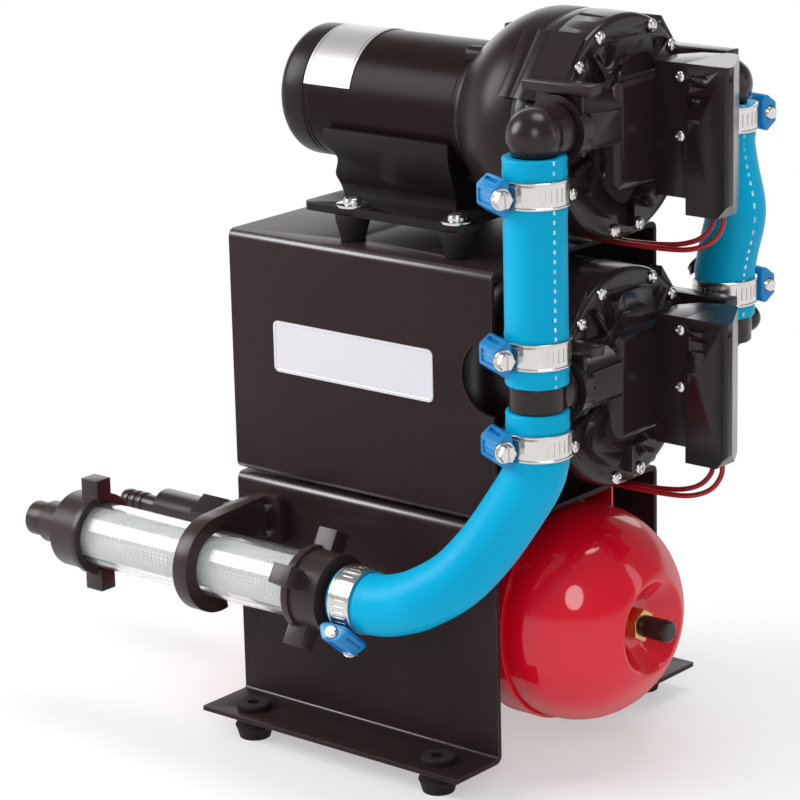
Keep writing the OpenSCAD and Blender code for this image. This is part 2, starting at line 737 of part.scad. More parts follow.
// Port with its collar, and the block that joins it to the head
module port_block() {
    x0 = port_x - 17;
    x1 = port_x + port_block_half;
    translate([port_x, 0, port_rise]) y_rod(30, port_y1 - collar_l + 1, port_tube_r);
    translate([port_x, 0, port_rise]) y_rod(port_y1 - collar_l, port_y1, collar_r);
    along_y(28, port_y1 - collar_l + 0.5) polygon(rounded([[x1, port_rise - 11], [x1, port_rise + 8],
        [port_x + 4, port_rise + 15], [x0, port_rise + 15], [x0, port_rise - 11]], [4, 4, 5, 0, 0]));
}

module cover_screws() {
    color(steel) at_both_pumps() {
        for (a = screw_turns) turned(a) translate([0, cover_screw_pitch_r, 0]) {
            x_rod(head_x1 - 12, head_x1 + 0.5, cover_screw_r);
            x_spin(concat([[0, head_x1], [cover_head_r, head_x1]],
                arc([cover_head_r - 1.8, head_x1 + 0.6], 1.8, 0, 90, 4), [[0, head_x1 + 2.4]]));
        }
        switch_screw_places() {
            y_rod(-2.2, 0, 2.8);
            y_rod(-0.5, 5, 1.4);
        }
    }
}

// Pressure switch on the head

switch_y0 = 8;
neck_y = switch_y0 + 0.5;
switch_z0 = -41;
switch_z1 = 32;
switch_screw_zs = [25.5, -3];

module switch_screw_places() {
    for (z = switch_screw_zs) translate([switch_x1 - 3, neck_y, z]) children();
}

module switch_body() {
    x0 = tower_x1;
    x1 = port_x + port_block_half + 0.6;
    neck = [[x0, neck_y], [x0, 26.5], [x1, 26.5], [x1, 37], [switch_x1 - 6, 40], [switch_x1, 40],
        [switch_x1, neck_y]];
    color(black) difference() {
        union() {
            translate([0, 0, -33]) linear_extrude(height = 62.5) polygon(neck);
            translate([0, 0, switch_z1 - 3]) linear_extrude(height = 3)
                polygon([[x0, switch_y0], [x0, 26.5], [x1, 37], [switch_x1, 40], [switch_x1, switch_y0]]);
        }
        translate([0, plunger_y, 0]) x_rod(tower_x1 - 1, switch_x1 + 1, plunger_bore_r);
        switch_screw_places() y_rod(-1, 8, 1.4 + seat_gap);
    }
}

module switch_plunger() {
    color([0.85, 0.84, 0.78]) translate([0, plunger_y, 0]) x_rod(tower_x1 - 5, switch_x1 + 4, plunger_r);
}

module switch_covers() {
    x0 = switch_x1;
    plan = rounded([[x0, switch_y0], [cover_x1, switch_y0], [cover_x1, switch_y0 + 5], [x0 + 8, 42],
        [x0, 42]], [0, 2, 2, 8, 0]);
    inner = [[x0 + 1, switch_y0 + 2.5], [cover_x1 - 5, switch_y0 + 2.5], [cover_x1 - 5, switch_y0 + 6],
        [x0 + 6, 38], [x0 + 1, 38]];
    color(black) at_both_pumps() difference() {
        union() {
            intersection() {
                translate([0, 0, switch_z0]) linear_extrude(height = switch_z1 - switch_z0) polygon(plan);
                along_y(0, 60) polygon([[x0, switch_z0], [cover_x1 - 6, switch_z0],
                    [cover_x1, switch_z0 + 7], [cover_x1, switch_z1], [x0, switch_z1]]);
            }
            for (dz = [6, 16, 26]) translate([x0 + 1.5, switch_y0 - 0.8, switch_z1 - dz - 2])
                cube([7, 1, 1.6]);
        }
        translate([0, 0, switch_z0 + 3]) linear_extrude(height = switch_z1 - switch_z0 - 6) polygon(inner);
        translate([0, plunger_y, 0]) x_rod(x0 - 1, x0 + 3, plunger_bore_r);
        for (i = [0, 1]) translate([wire_routes[i][0].x, wire_routes[i][0].y, switch_z0 - 3])
            cylinder(h = 8, r = wire_r + 0.5);
    }
}

module switch_wires() {
    color([0.62, 0.06, 0.10]) at_both_pumps() for (route = wire_routes)
        swept_tube(spline(route, 2), wire_r, 0, 8);
}

// Slide clips over the port collars

module slide_clip() {
    bar_z = collar_r + 0.6;
    y0 = slot_y0 + move_gap;
    color(black) translate([port_x, 0, port_rise]) {
        translate([-clip_half_w, port_y1 - 10, bar_z]) cube([2 * clip_half_w, 10, clip_bar_t]);
        along_y(y0, y0 + fork_t) difference() {
            translate([-clip_leg_x, -12]) square([2 * clip_leg_x, bar_z + 12.5]);
            circle(r = groove_r + move_gap);
            translate([-groove_r - move_gap, -13]) square([2 * (groove_r + move_gap), 13]);
        }
    }
}

module upper_front_clip() {
    translate([0, 0, upper_axis_z]) mirror([0, 1, 0]) slide_clip();
}

module lower_front_clip() {
    translate([0, 0, lower_axis_z]) mirror([0, 1, 0]) slide_clip();
}

// Hoses and clamps

module suction_hose() {
    color(hose_blue) swept_tube(spline(suction_route, 3), hose_r, hose_bore / 2 + 0.25, 16);
}

module suction_link_hose() {
    color(hose_blue) translate([hose_x, -hose_y, link_bottom]) difference() {
        cylinder(h = link_top - link_bottom, r = hose_r);
        translate([0, 0, -1]) cylinder(h = link_top - link_bottom + 2, r = hose_bore / 2);
    }
}

module discharge_link_hose() {
    color(hose_blue) swept_tube(spline(rear_route, 3), hose_r, hose_bore / 2 + 0.25, 16);
}

// Each clamp sits on its hose with the worm housing turned to the front left
module at_clamps() {
    for (z = front_bands) translate([hose_x, -hose_y, z]) rotate([0, 0, -117]) children();
    translate([hose_x, -hose_y, suction_band_z]) rotate([0, 0, -117]) children();
    for (z = rear_bands) translate([hose_x, hose_y, z]) rotate([0, 0, 75]) children();
    translate([suction_band_x, strainer_y, strainer_z]) rotate([0, 90, 0]) rotate([0, 0, -40]) children();
}

module clamp_bands() {
    color(steel) at_clamps() difference() {
        union() {
            cylinder(h = band_w, r = band_out_r, center = true);
            for (s = [-1, 1]) translate([0, 0, s * (band_w / 2 - 0.6)])
                cylinder(h = 1.2, r = band_out_r + band_rim, center = true);
        }
        cylinder(h = band_w + 2, r = band_in_r, center = true);
    }
}

module clamp_housings() {
    x0 = band_out_r + 0.7;
    color(clamp_blue) at_clamps() difference() {
        translate([0, -9, 0]) rotate([-90, 0, 0]) linear_extrude(height = 18)
            polygon(rounded([[x0, -6.5], [x0 + 6, -6.5], [x0 + 9, -4], [x0 + 9, 4], [x0 + 6, 6.5],
                [x0, 6.5]], [0, 2, 2, 2, 2, 0]));
        translate([x0 + 4.8, -10, 0]) rotate([-90, 0, 0]) cylinder(h = 20, r = 3.2);
    }
}

module clamp_screws() {
    x0 = band_out_r + 0.7;
    color(steel) at_clamps() translate([x0 + 4.8, 0, 0]) rotate([-90, 0, 0]) {
        translate([0, 0, -11]) cylinder(h = 20, r = 3);
        translate([0, 0, 9]) cylinder(h = 5, r = 4.4, $fn = 6);
        translate([0, 0, 9]) cylinder(h = 1, r = 5.2);
    }
}

// Fittings

module port_leg() {
    translate([port_x, 0, port_rise]) difference() {
        union() {
            y_rod(port_y1 - 22, slot_y0 - 2, spigot_r);
            y_rod(slot_y0 - 2.4, hose_y, fitting_r);
            y_rod(port_y1 + 0.5, hose_y, leg_r);
        }
        difference() {
            y_rod(slot_y0, slot_y1, fitting_r + 5);
            y_rod(slot_y0 - 1, slot_y1 + 1, groove_r);
        }
    }
}

// Space above or below a shoulder that a hose end takes up
module hose_end(z, h) {
    translate([hose_x, hose_y, z]) cylinder(h = h, r = band_out_r + band_rim + 0.3);
}

// Elbow from a port down into a hose, for the rear side; the front one is its mirror image
module elbow() {
    z = upper_axis_z + port_rise;
    color(black) difference() {
        union() {
            difference() {
                union() {
                    translate([0, 0, upper_axis_z]) port_leg();
                    translate([hose_x, hose_y, z]) sphere(r = elbow_r);
                }
                hose_end(link_top - 20, 20 + seat_gap);
            }
            translate([hose_x, hose_y, link_top - barb_l]) cylinder(h = barb_l + 2, r = barb_r);
        }
        translate([hose_x, hose_y, link_top - barb_l - 1]) cylinder(h = barb_l + elbow_drop + 1, r = 7);
        translate([port_x, 0, z]) y_rod(20, hose_y, 6.6);
    }
}

module tee_body(down) {
    z = lower_axis_z + port_rise;
    difference() {
        union() {
            translate([0, 0, lower_axis_z]) port_leg();
            translate([hose_x, hose_y, z - tee_half]) cylinder(h = 2 * tee_half, r = elbow_r);
        }
        hose_end(link_bottom - seat_gap, 20);
        if (down) hose_end(suction_top - 20, 20 + seat_gap);
    }
    translate([hose_x, hose_y, z]) cylinder(h = tee_half + barb_l, r = barb_r);
    if (down) translate([hose_x, hose_y, suction_top - barb_l]) cylinder(h = tee_half + barb_l, r = barb_r);
}

module front_elbow() {
    mirror([0, 1, 0]) elbow();
}

module rear_elbow() {
    elbow();
}

module front_tee() {
    z = lower_axis_z + port_rise;
    mirror([0, 1, 0]) color(black) difference() {
        tee_body(true);
        translate([hose_x, hose_y, z - tee_half - barb_l - 1])
            cylinder(h = 2 * (tee_half + barb_l + 1), r = 7);
        translate([port_x, 0, z]) y_rod(20, hose_y, tee_bore_r);
    }
}

module rear_tee() {
    z = lower_axis_z + port_rise;
    color(black) difference() {
        union() {
            tee_body(false);
            translate([port_x, 0, z]) y_rod(hose_y, branch_y, tee_half - 0.2);
            translate([port_x, branch_y, z]) sphere(r = branch_r + 0.7);
            branch() {
                cylinder(h = 40, r = branch_r);
                for (l = [24, 29, 34]) translate([0, 0, l]) cylinder(h = 3.5, r = branch_r + 0.9);
            }
        }
        translate([hose_x, hose_y, z]) cylinder(h = tee_half + barb_l + 1, r = 7);
        translate([port_x, 0, z]) y_rod(20, branch_y, tee_bore_r);
        branch() cylinder(h = 50, r = 4.5);
    }
}

module branch() {
    translate([port_x, branch_y, lower_axis_z + port_rise]) rotate([0, branch_tilt - 90, 0]) children();
}

// Tank

// Half outline of the tank; the right end is dished in around the air valve
function tank_profile(inset) =
    let(r = tank_r - inset, d = tank_dome - inset, rim = tank_rim_r - inset * 0.6, k = 8,
        a0 = asin(rim / r), lip = inset > 0 ? inset * 1.5 : 0)
    concat([[0, tank_x0 - d * cos(a0)]],
        [for (i = [0:k]) let(a = a0 + (90 - a0) * i / k) [r * sin(a), tank_x0 - d * cos(a)]],
        [for (i = [0:k]) let(a = (90 - a0) * i / k) [r * cos(a), tank_x1 + d * sin(a)]],
        [[tank_rim_r - 3, tank_end1 - lip], [12, tank_end1 - tank_dish - lip],
            [0, tank_end1 - tank_dish - lip]]);

module at_tank() {
    translate([0, 0, tank_z]) children();
}

module tank_shell() {
    color(tank_red) at_tank() difference() {
        x_spin(tank_profile(0));
        x_spin(tank_profile(tank_wall));
        x_rod(valve_x0 - 10, valve_x0 + 5, 4 + seat_gap);
        x_rod(tank_end0 - 5, tank_end0 + 10, 9 + seat_gap);
    }
}

// Half outline of the rubber bag, open at the neck
function bag_profile(inset, neck) =
    let(r = tank_r - 9 - inset, a0 = asin(neck / r), k = 7, x0 = tank_end0 + tank_wall + 0.4)
    concat([[0, x0 - (inset > 0 ? 1 : 0)], [neck, x0 - (inset > 0 ? 1 : 0)]],
        [for (i = [0:k]) let(a = a0 + (90 - a0) * i / k) [r * sin(a), tank_x0 + 4 - (40 - inset) * cos(a)]],
        [for (i = [0:k]) let(a = 90 * i / k) [r * cos(a), tank_x1 - 45 + (25 - inset) * sin(a)]]);

module tank_bladder() {
    color(rubber) at_tank() difference() {
        x_spin(bag_profile(0, 12));
        x_spin(bag_profile(2, 9.2));
    }
}

module tank_fitting() {
    x0 = tank_end0;
    color(black) at_tank() difference() {
        union() {
            x_rod(x0 - 8, x0 + 7, 9);
            x_rod(x0 - 26, x0 - seat_gap, 13);
            rotate([0, 90, 0]) translate([0, 0, x0 - 44]) cylinder(h = 18, r = 14, $fn = 6);
            x_rod(x0 - 74, x0 - 44, 11);
            x_rod(x0 - 104, x0 - 74, 5.4);
            for (i = [0:2]) x_rod(x0 - 102 + 5 * i, x0 - 98.5 + 5 * i, 6.1);
        }
        x_rod(x0 - 110, x0 + 10, 3.6);
    }
}

// Two straps that hang the tank from the lower shelf
module tank_straps() {
    strap_w = 16;
    strap_t = 1.6;
    in_r = tank_r + 0.2;
    leg_y = 36;
    top_z = shelf_z - sheet_t - tank_z;
    tab_y = strap_bolt_y - 1;
    color(steel) at_tank() for (x = strap_bolt_x) difference() {
        union() {
            difference() {
                x_ring(x - strap_w / 2, x + strap_w / 2, in_r + strap_t, in_r);
                translate([x - strap_w, -leg_y, 0]) cube([2 * strap_w, 2 * leg_y, tank_r + 9]);
            }
            for (s = [-1, 1]) scale([1, s, 1]) along_x(x - strap_w / 2, x + strap_w / 2)
                polygon([[leg_y, 41.8], [leg_y + strap_t, 41.8], [leg_y + strap_t, top_z - strap_t],
                    [tab_y, top_z - strap_t], [tab_y, top_z], [leg_y, top_z]]);
        }
        x_rod(x - strap_w, x + strap_w, in_r);
        for (y = [-strap_bolt_y + 8, strap_bolt_y - 8]) translate([x, y, top_z - 5])
            cylinder(h = 10, r = strap_screw_r + screw_gap);
    }
}

valve_x0 = tank_end1 - tank_dish;
valve_cap_r = 5.6;

module air_valve() {
    color(brass) at_tank() difference() {
        union() {
            x_rod(valve_x0 - 4, valve_x0 + 1, 4);
            rotate([0, 90, 0]) translate([0, 0, valve_x0]) cylinder(h = 6, r = 8.6, $fn = 6);
            x_rod(valve_x0 + 5, valve_x0 + 17, 4);
        }
        x_rod(valve_x0 - 6, valve_x0 + 18, 1.5);
    }
}

module air_valve_pin() {
    color(steel) at_tank() x_rod(valve_x0 + 2, valve_x0 + 17.5, 1.1);
}

module air_valve_cap() {
    color(black) at_tank() difference() {
        x_spin(concat([[0, valve_x0 + 6.4], [valve_cap_r, valve_x0 + 6.4]],
            arc([valve_cap_r - 1.5, valve_x0 + 20.5], 1.5, 0, 90, 4), [[0, valve_x0 + 22]]));
        x_rod(valve_x0 + 5, valve_x0 + 19.5, 4 + move_gap);
    }
}

// Strainer

module at_strainer() {
    translate([0, strainer_y, strainer_z]) children();
}

module strainer_tube() {
    color([0.9, 0.95, 0.97, 0.5]) at_strainer()
        x_ring(inlet_x1 - cap_cover, outlet_x0 + cap_cover, bowl_r, bowl_r - 2);
}

module strainer_screen() {
    color("silver") at_strainer()
        x_ring(inlet_x1 - cap_cover + 1, outlet_x0 + cap_cover + 1.2, bowl_r - 4, bowl_r - 4.6);
}

// Cap with grip lugs around its open end
module strainer_cap_body(x_open, x_closed, lug_turns) {
    lo = min(x_open, x_closed);
    hi = max(x_open, x_closed);
    lug_x = x_open < x_closed ? lo - 1.5 : hi - 10;
    x_rod(lo, hi, cap_r);
    x_ring(x_open < x_closed ? lo : hi - 4, x_open < x_closed ? lo + 4 : hi, cap_r + 1.6, cap_r - 1);
    for (a = lug_turns) turned(a) translate([lug_x, cap_r - 2, -lug_w / 2])
        cube([11.5, lug_r - cap_r + 2, lug_w]);
}

module inlet_cap() {
    color(black) at_strainer() difference() {
        union() {
            strainer_cap_body(inlet_x1, inlet_x0, [90, 270]);
            x_rod(inlet_tip, inlet_x0 + 1, inlet_barb_r - 1);
            x_rod(inlet_tip, inlet_tip + inlet_barb_l, inlet_barb_r);
            x_rod(inlet_x0 - inlet_hub_l, inlet_x0 + 1, inlet_hub_r);
        }
        x_rod(inlet_x1 - cap_cover - 1.5 - move_gap, inlet_x1 + 2, bowl_r + move_gap);
        x_rod(inlet_tip - 1, inlet_x1 + 1, 6.5);
    }
}

module outlet_cap() {
    color(black) at_strainer() difference() {
        union() {
            strainer_cap_body(outlet_x0, outlet_x1, [60, 150, 240]);
            x_rod(outlet_x1 - 1, outlet_x1 + 27, barb_r - 0.2);
        }
        x_rod(outlet_x0 - 2, outlet_x0 + cap_cover + 1.5, bowl_r + seat_gap);
        x_rod(outlet_x0 - 1, outlet_x1 - 6.5, bowl_r - 3.5);
        x_rod(outlet_x0, outlet_x1 + 30, 7);
    }
}

module strainer_seals() {
    color(rubber) at_strainer() {
        x_ring(inlet_x1 - cap_cover - 1.5, inlet_x1 - cap_cover, bowl_r - 0.2, bowl_r - 2.8);
        x_ring(outlet_x0 + cap_cover, outlet_x0 + cap_cover + 1.5, bowl_r - 0.2, bowl_r - 2.8);
    }
}

bracket_pad_z = strainer_z + 14;

module strainer_bracket() {
    ring_r = bowl_r + 8;
    mouth_a0 = 282;
    mouth_a1 = 335;
    x0 = bracket_x - bracket_w / 2;
    x1 = bracket_x + bracket_w / 2;
    color(black) difference() {
        union() {
            at_strainer() x_rod(x0, x1, ring_r);
            along_x(x0, x1) polygon([[strainer_y, strainer_z + 5], [strainer_y, strainer_z + ring_r],
                [-half_d - 4, bracket_pad_z + 13], [-half_d - 4, bracket_pad_z - 13]]);
            along_y(-half_d - 5, -half_d) polygon(rounded(box_outline(x0 + 0.5, bracket_x + 14,
                bracket_pad_z - 13, bracket_pad_z + 13), 3));
        }
        at_strainer() x_rod(x0 - 1, x1 + 1, bowl_r + seat_gap);
        at_strainer() along_x(x0 - 1, x1 + 1)
            polygon([[0, 0], for (a = [mouth_a0, (mouth_a0 + mouth_a1) / 2, mouth_a1])
                (ring_r + 8) * [cos(a), sin(a)]]);
        bracket_screw_places() y_rod(-half_d - 9, -half_d + 1, bracket_screw_r + screw_gap);
    }
}

lower_frame();
upper_frame();
rubber_feet();
rating_plate();
translate([0, 0, upper_axis_z]) motor_can();  // upper_motor_can
translate([0, 0, lower_axis_z]) motor_can();  // lower_motor_can
translate([0, 0, upper_axis_z]) pump_base();  // upper_base
translate([0, 0, lower_axis_z]) pump_base();  // lower_base
translate([0, 0, upper_axis_z]) armature();  // upper_armature
translate([0, 0, lower_axis_z]) armature();  // lower_armature
translate([0, 0, upper_axis_z]) cam();  // upper_cam
translate([0, 0, lower_axis_z]) cam();  // lower_cam
translate([0, 0, upper_axis_z]) drive_housing();  // upper_drive_housing
translate([0, 0, lower_axis_z]) drive_housing();  // lower_drive_housing
translate([0, 0, upper_axis_z]) head_cover();  // upper_head
translate([0, 0, lower_axis_z]) head_cover();  // lower_head
translate([0, 0, upper_axis_z]) switch_body();  // upper_switch_body
translate([0, 0, lower_axis_z]) switch_body();  // lower_switch_body
translate([0, 0, upper_axis_z]) switch_plunger();  // upper_switch_plunger
translate([0, 0, lower_axis_z]) switch_plunger();  // lower_switch_plunger
motor_end_bells();
motor_labels();
rubber_mounts();
mount_screws();
motor_bearings();
motor_magnets();
motor_brushes();
wobble_plates();
diaphragms();
valve_plates();
cover_screws();
switch_covers();
switch_wires();
upper_front_clip();
translate([0, 0, upper_axis_z]) slide_clip();  // upper_rear_clip
lower_front_clip();
translate([0, 0, lower_axis_z]) slide_clip();  // lower_rear_clip
suction_hose();
suction_link_hose();
discharge_link_hose();
clamp_bands();
clamp_housings();
clamp_screws();
front_elbow();
front_tee();
rear_elbow();
rear_tee();
tank_shell();
tank_bladder();
tank_fitting();
tank_straps();
air_valve();
air_valve_pin();
air_valve_cap();
strainer_tube();
strainer_screen();
inlet_cap();
outlet_cap();
strainer_seals();
strainer_bracket();
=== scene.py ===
import bpy, bmesh, json, math
from mathutils import Matrix, Vector

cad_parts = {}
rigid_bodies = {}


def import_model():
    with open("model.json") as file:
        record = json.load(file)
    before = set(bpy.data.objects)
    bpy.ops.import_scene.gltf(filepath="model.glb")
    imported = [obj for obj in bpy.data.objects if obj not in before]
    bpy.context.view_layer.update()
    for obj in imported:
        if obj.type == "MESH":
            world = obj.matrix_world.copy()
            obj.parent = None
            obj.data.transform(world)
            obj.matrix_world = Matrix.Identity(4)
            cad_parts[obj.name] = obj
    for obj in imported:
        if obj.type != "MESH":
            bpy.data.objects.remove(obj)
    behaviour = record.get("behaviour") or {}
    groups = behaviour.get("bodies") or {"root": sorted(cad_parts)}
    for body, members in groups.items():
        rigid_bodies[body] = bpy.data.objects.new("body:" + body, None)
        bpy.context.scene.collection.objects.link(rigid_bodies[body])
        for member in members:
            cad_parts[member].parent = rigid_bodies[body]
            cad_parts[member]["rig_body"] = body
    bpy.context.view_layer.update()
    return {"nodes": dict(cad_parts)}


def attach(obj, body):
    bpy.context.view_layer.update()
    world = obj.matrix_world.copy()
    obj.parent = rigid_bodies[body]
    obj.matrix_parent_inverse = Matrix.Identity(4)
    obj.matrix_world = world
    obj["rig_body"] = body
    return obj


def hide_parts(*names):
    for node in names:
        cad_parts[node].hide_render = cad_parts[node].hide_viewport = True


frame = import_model()
nodes = frame["nodes"]
scene = bpy.context.scene
print("frame loaded:", len(nodes), "nodes")

mm = 0.001
seamGap = 0.0005 * mm  # points closer than this are one point

# Stations that the pieces share with the CAD, in mm
pump = {
    "axes": {"lower": 200.8, "upper": 324.3},
    "canStart": -62, "canEnd": 37, "motorRadius": 33.5,
    "housingEnd": 86, "coverEnd": 114, "screwRing": 50, "lobeStart": 54, "lobeStep": 72, "screwSpread": 11.5,
    "mountXs": (-16, 50), "mountYs": (-50, 50), "mountTops": (159.9, 283.4),
}
axes = pump["axes"].values()
hose = {"x": 118.5, "y": 77.5, "radius": 15.0, "bore": 10.25, "linkTop": 324.3, "linkBottom": 216.2,
        "suctionTop": 203.4, "frontBands": (308.0, 232.0), "rearBands": (317.4, 229.6), "suctionBand": 187.7}
strainer = {"y": -108, "z": 99.5, "tube": 17, "inlet": -142.5, "outlet": -1, "band": 31}


# Shared shader groups

def feed(tree, socket, source):
    # A link from another node's socket, or else a value
    if hasattr(source, "is_linked"):
        tree.links.new(source, socket)
    else:
        socket.default_value = source


def shaderGroup(name, values, outputs):
    # A group with a Vector input, number inputs with their usual values, and number outputs
    group = bpy.data.node_groups.new(name, "ShaderNodeTree")
    face = group.interface
    face.new_socket(name="Vector", in_out="INPUT", socket_type="NodeSocketVector")
    for label, value in values.items():
        face.new_socket(name=label, in_out="INPUT", socket_type="NodeSocketFloat").default_value = value
    for label in outputs:
        face.new_socket(name=label, in_out="OUTPUT", socket_type="NodeSocketFloat")
    return group, group.nodes.new("NodeGroupInput").outputs, group.nodes.new("NodeGroupOutput").inputs


def addNode(tree, kind, settings=None, **sources):
    made = tree.nodes.new(kind)
    for key, value in (settings or {}).items():
        setattr(made, key, value)
    for label, source in sources.items():
        feed(tree, made.inputs[label.replace("_", " ")], source)
    return made


def mathNode(tree, operation, *sources, clamp=False):
    made = addNode(tree, "ShaderNodeMath", {"operation": operation, "use_clamp": clamp})
    for slot, source in enumerate(sources):
        feed(tree, made.inputs[slot], source)
    return made.outputs[0]


def axesOf(tree, vector):
    return addNode(tree, "ShaderNodeSeparateXYZ", Vector=vector).outputs


edgeWearAndSheen = {"samples": 4, "gain": 9.0, "noise": {"Detail": 4.0, "Roughness": 0.6},
            "contrast": 3.0, "offset": -1.0}
mouldGrain = {"fine": {"Detail": 3.0, "Roughness": 0.55}, "cells": {"Smoothness": 0.6},
              "slow": {"Scale": 22.0, "Detail": 4.0, "Roughness": 0.5}, "depthShare": 0.5}
settledDust = {"falloff": 3.0, "patches": {"Scale": 60.0, "Detail": 6.0, "Roughness": 0.65}}


def buildEdgeWearAndSheen():
    # Finds edges by comparing the rounded normal with the true one
    group, given, made = shaderGroup("edgeWearAndSheen", {"Width": 0.0006, "Breakup": 180.0, "Amount": 0.5}, ["Mask"])
    rounded = addNode(group, "ShaderNodeBevel", {"samples": edgeWearAndSheen["samples"]}, Radius=given["Width"])
    dot = addNode(group, "ShaderNodeVectorMath", {"operation": "DOT_PRODUCT"})
    feed(group, dot.inputs[0], rounded.outputs[0])
    feed(group, dot.inputs[1], addNode(group, "ShaderNodeNewGeometry").outputs["Normal"])
    gap = mathNode(group, "SUBTRACT", 1.0, dot.outputs["Value"])
    edge = mathNode(group, "MULTIPLY", gap, edgeWearAndSheen["gain"], clamp=True)
    noise = addNode(group, "ShaderNodeTexNoise", Vector=given["Vector"], Scale=given["Breakup"],
                    **edgeWearAndSheen["noise"])
    patchy = mathNode(group, "MULTIPLY_ADD", noise.outputs["Fac"], edgeWearAndSheen["contrast"], edgeWearAndSheen["offset"],
                      clamp=True)
    patchyEdge = mathNode(group, "MULTIPLY", edge, patchy)
    feed(group, made["Mask"], mathNode(group, "MULTIPLY", patchyEdge, given["Amount"], clamp=True))
    return group


def buildMouldGrain():
    # Fine spark-eroded grain with a slow wander, as on moulded and powder-coated faces
    group, given, made = shaderGroup("mouldGrain", {"Scale": 900.0}, ["Height", "Wander"])
    vector, scale = given["Vector"], given["Scale"]
    fine = addNode(group, "ShaderNodeTexNoise", Vector=vector, Scale=scale, **mouldGrain["fine"])
    cells = addNode(group, "ShaderNodeTexVoronoi", {"feature": "SMOOTH_F1"}, Vector=vector, Scale=scale,
                    **mouldGrain["cells"])
    slow = addNode(group, "ShaderNodeTexNoise", Vector=vector, **mouldGrain["slow"])
    total = mathNode(group, "ADD", fine.outputs["Fac"], cells.outputs["Distance"])
    feed(group, made["Height"], mathNode(group, "MULTIPLY", total, mouldGrain["depthShare"]))
    feed(group, made["Wander"], slow.outputs["Fac"])
    return group


def buildDust():
    # Dust that lies on upward faces, in patches
    group, given, made = shaderGroup("settledDust", {"Amount": 0.3}, ["Mask"])
    normal = axesOf(group, addNode(group, "ShaderNodeNewGeometry").outputs["Normal"])
    upward = mathNode(group, "POWER", mathNode(group, "MAXIMUM", normal["Z"], 0.0), settledDust["falloff"])
    patches = addNode(group, "ShaderNodeTexNoise", Vector=given["Vector"], **settledDust["patches"])
    lying = mathNode(group, "MULTIPLY", upward, patches.outputs["Fac"])
    feed(group, made["Mask"], mathNode(group, "MULTIPLY", lying, given["Amount"], clamp=True))
    return group


groups = {"wearAndSheen": buildEdgeWearAndSheen(), "grain": buildMouldGrain(), "dust": buildDust()}
print("shader groups ready")


def tone(code):
    # A hex colour as linear values
    channels = [int(code[i:i + 2], 16) / 255 for i in (0, 2, 4)]
    return [c / 12.92 if c <= 0.04045 else ((c + 0.055) / 1.055) ** 2.4 for c in channels] + [1.0]


def groupNode(tree, key, **sources):
    return addNode(tree, "ShaderNodeGroup", {"node_tree": groups[key]}, **sources)


def blendColour(tree, factor, first, second):
    made = addNode(tree, "ShaderNodeMix", {"data_type": "RGBA"})
    for slot, source in ((0, factor), (6, first), (7, second)):
        feed(tree, made.inputs[slot], source)
    return made.outputs[2]


def remap(tree, source, toRange, fromRange=(0.0, 1.0), curve="LINEAR"):
    ends = zip(("From_Min", "From_Max", "To_Min", "To_Max"), (*fromRange, *toRange))
    made = addNode(tree, "ShaderNodeMapRange", {"interpolation_type": curve}, Value=source, **dict(ends))
    return made.outputs["Result"]


def addDashes(tree, grain, colour, dashes):
    # A row of plain pale dashes that fade in places, placed by the lengthwise and facing values of the hose
    # mesh
    along, facing = [addNode(tree, "ShaderNodeAttribute", {"attribute_name": name}).outputs["Fac"]
                     for name in ("along", "facing")]
    run = mathNode(tree, "FRACT", mathNode(tree, "DIVIDE", along, dashes["pitch"]))
    dash = mathNode(tree, "MULTIPLY", mathNode(tree, "LESS_THAN", run, dashes["share"]),
                    mathNode(tree, "GREATER_THAN", facing, dashes["facing"]))
    faded = remap(tree, grain.outputs["Wander"], dashes["fading"])
    dashMix = mathNode(tree, "MULTIPLY", dash, mathNode(tree, "MINIMUM", faded, dashes["strength"]), clamp=True)
    return blendColour(tree, dashMix, colour, tone(dashes["colour"]))


def addBorder(tree, place, colour, border):
    # A thin line near both edges of a label, measured along X
    across = mathNode(tree, "SUBTRACT", axesOf(tree, place)["X"], border["middle"] * mm)
    gap = mathNode(tree, "SUBTRACT", mathNode(tree, "ABSOLUTE", across), border["half"] * mm)
    edge = mathNode(tree, "LESS_THAN", mathNode(tree, "ABSOLUTE", gap), border["line"] * mm / 2)
    return blendColour(tree, edge, colour, tone(border["colour"]))


def foldCoat(tree, fold):
    # A glossy coat on folds and rounded edges of flat sheet, where the normal leaves the three axes
    normal = axesOf(tree, addNode(tree, "ShaderNodeNewGeometry").outputs["Normal"])
    sides = [mathNode(tree, "ABSOLUTE", normal[axis]) for axis in "XYZ"]
    flat = mathNode(tree, "MAXIMUM", mathNode(tree, "MAXIMUM", sides[0], sides[1]), sides[2])
    return remap(tree, flat, (0.0, fold["coat"]), (fold["flat"], fold["round"]))


def edgeCoat(tree, fromRange):
    # Seen almost along the skin, the lacquer gives way, so that the far side keeps its colour
    facing = addNode(tree, "ShaderNodeLayerWeight").outputs["Facing"]
    return remap(tree, facing, (1.0, 0.0), fromRange)


def newMaterial(name):
    material = bpy.data.materials.new(name)
    material.use_nodes = True
    return material, material.node_tree, material.node_tree.nodes["Principled BSDF"]


usual = {"grainScale": 900.0, "dustColour": "9a948c", "dustRough": 0.4,
         "wearAndSheenColour": "8d8985", "bump": 0.25, "depth": 0.00004, "shader": {}}


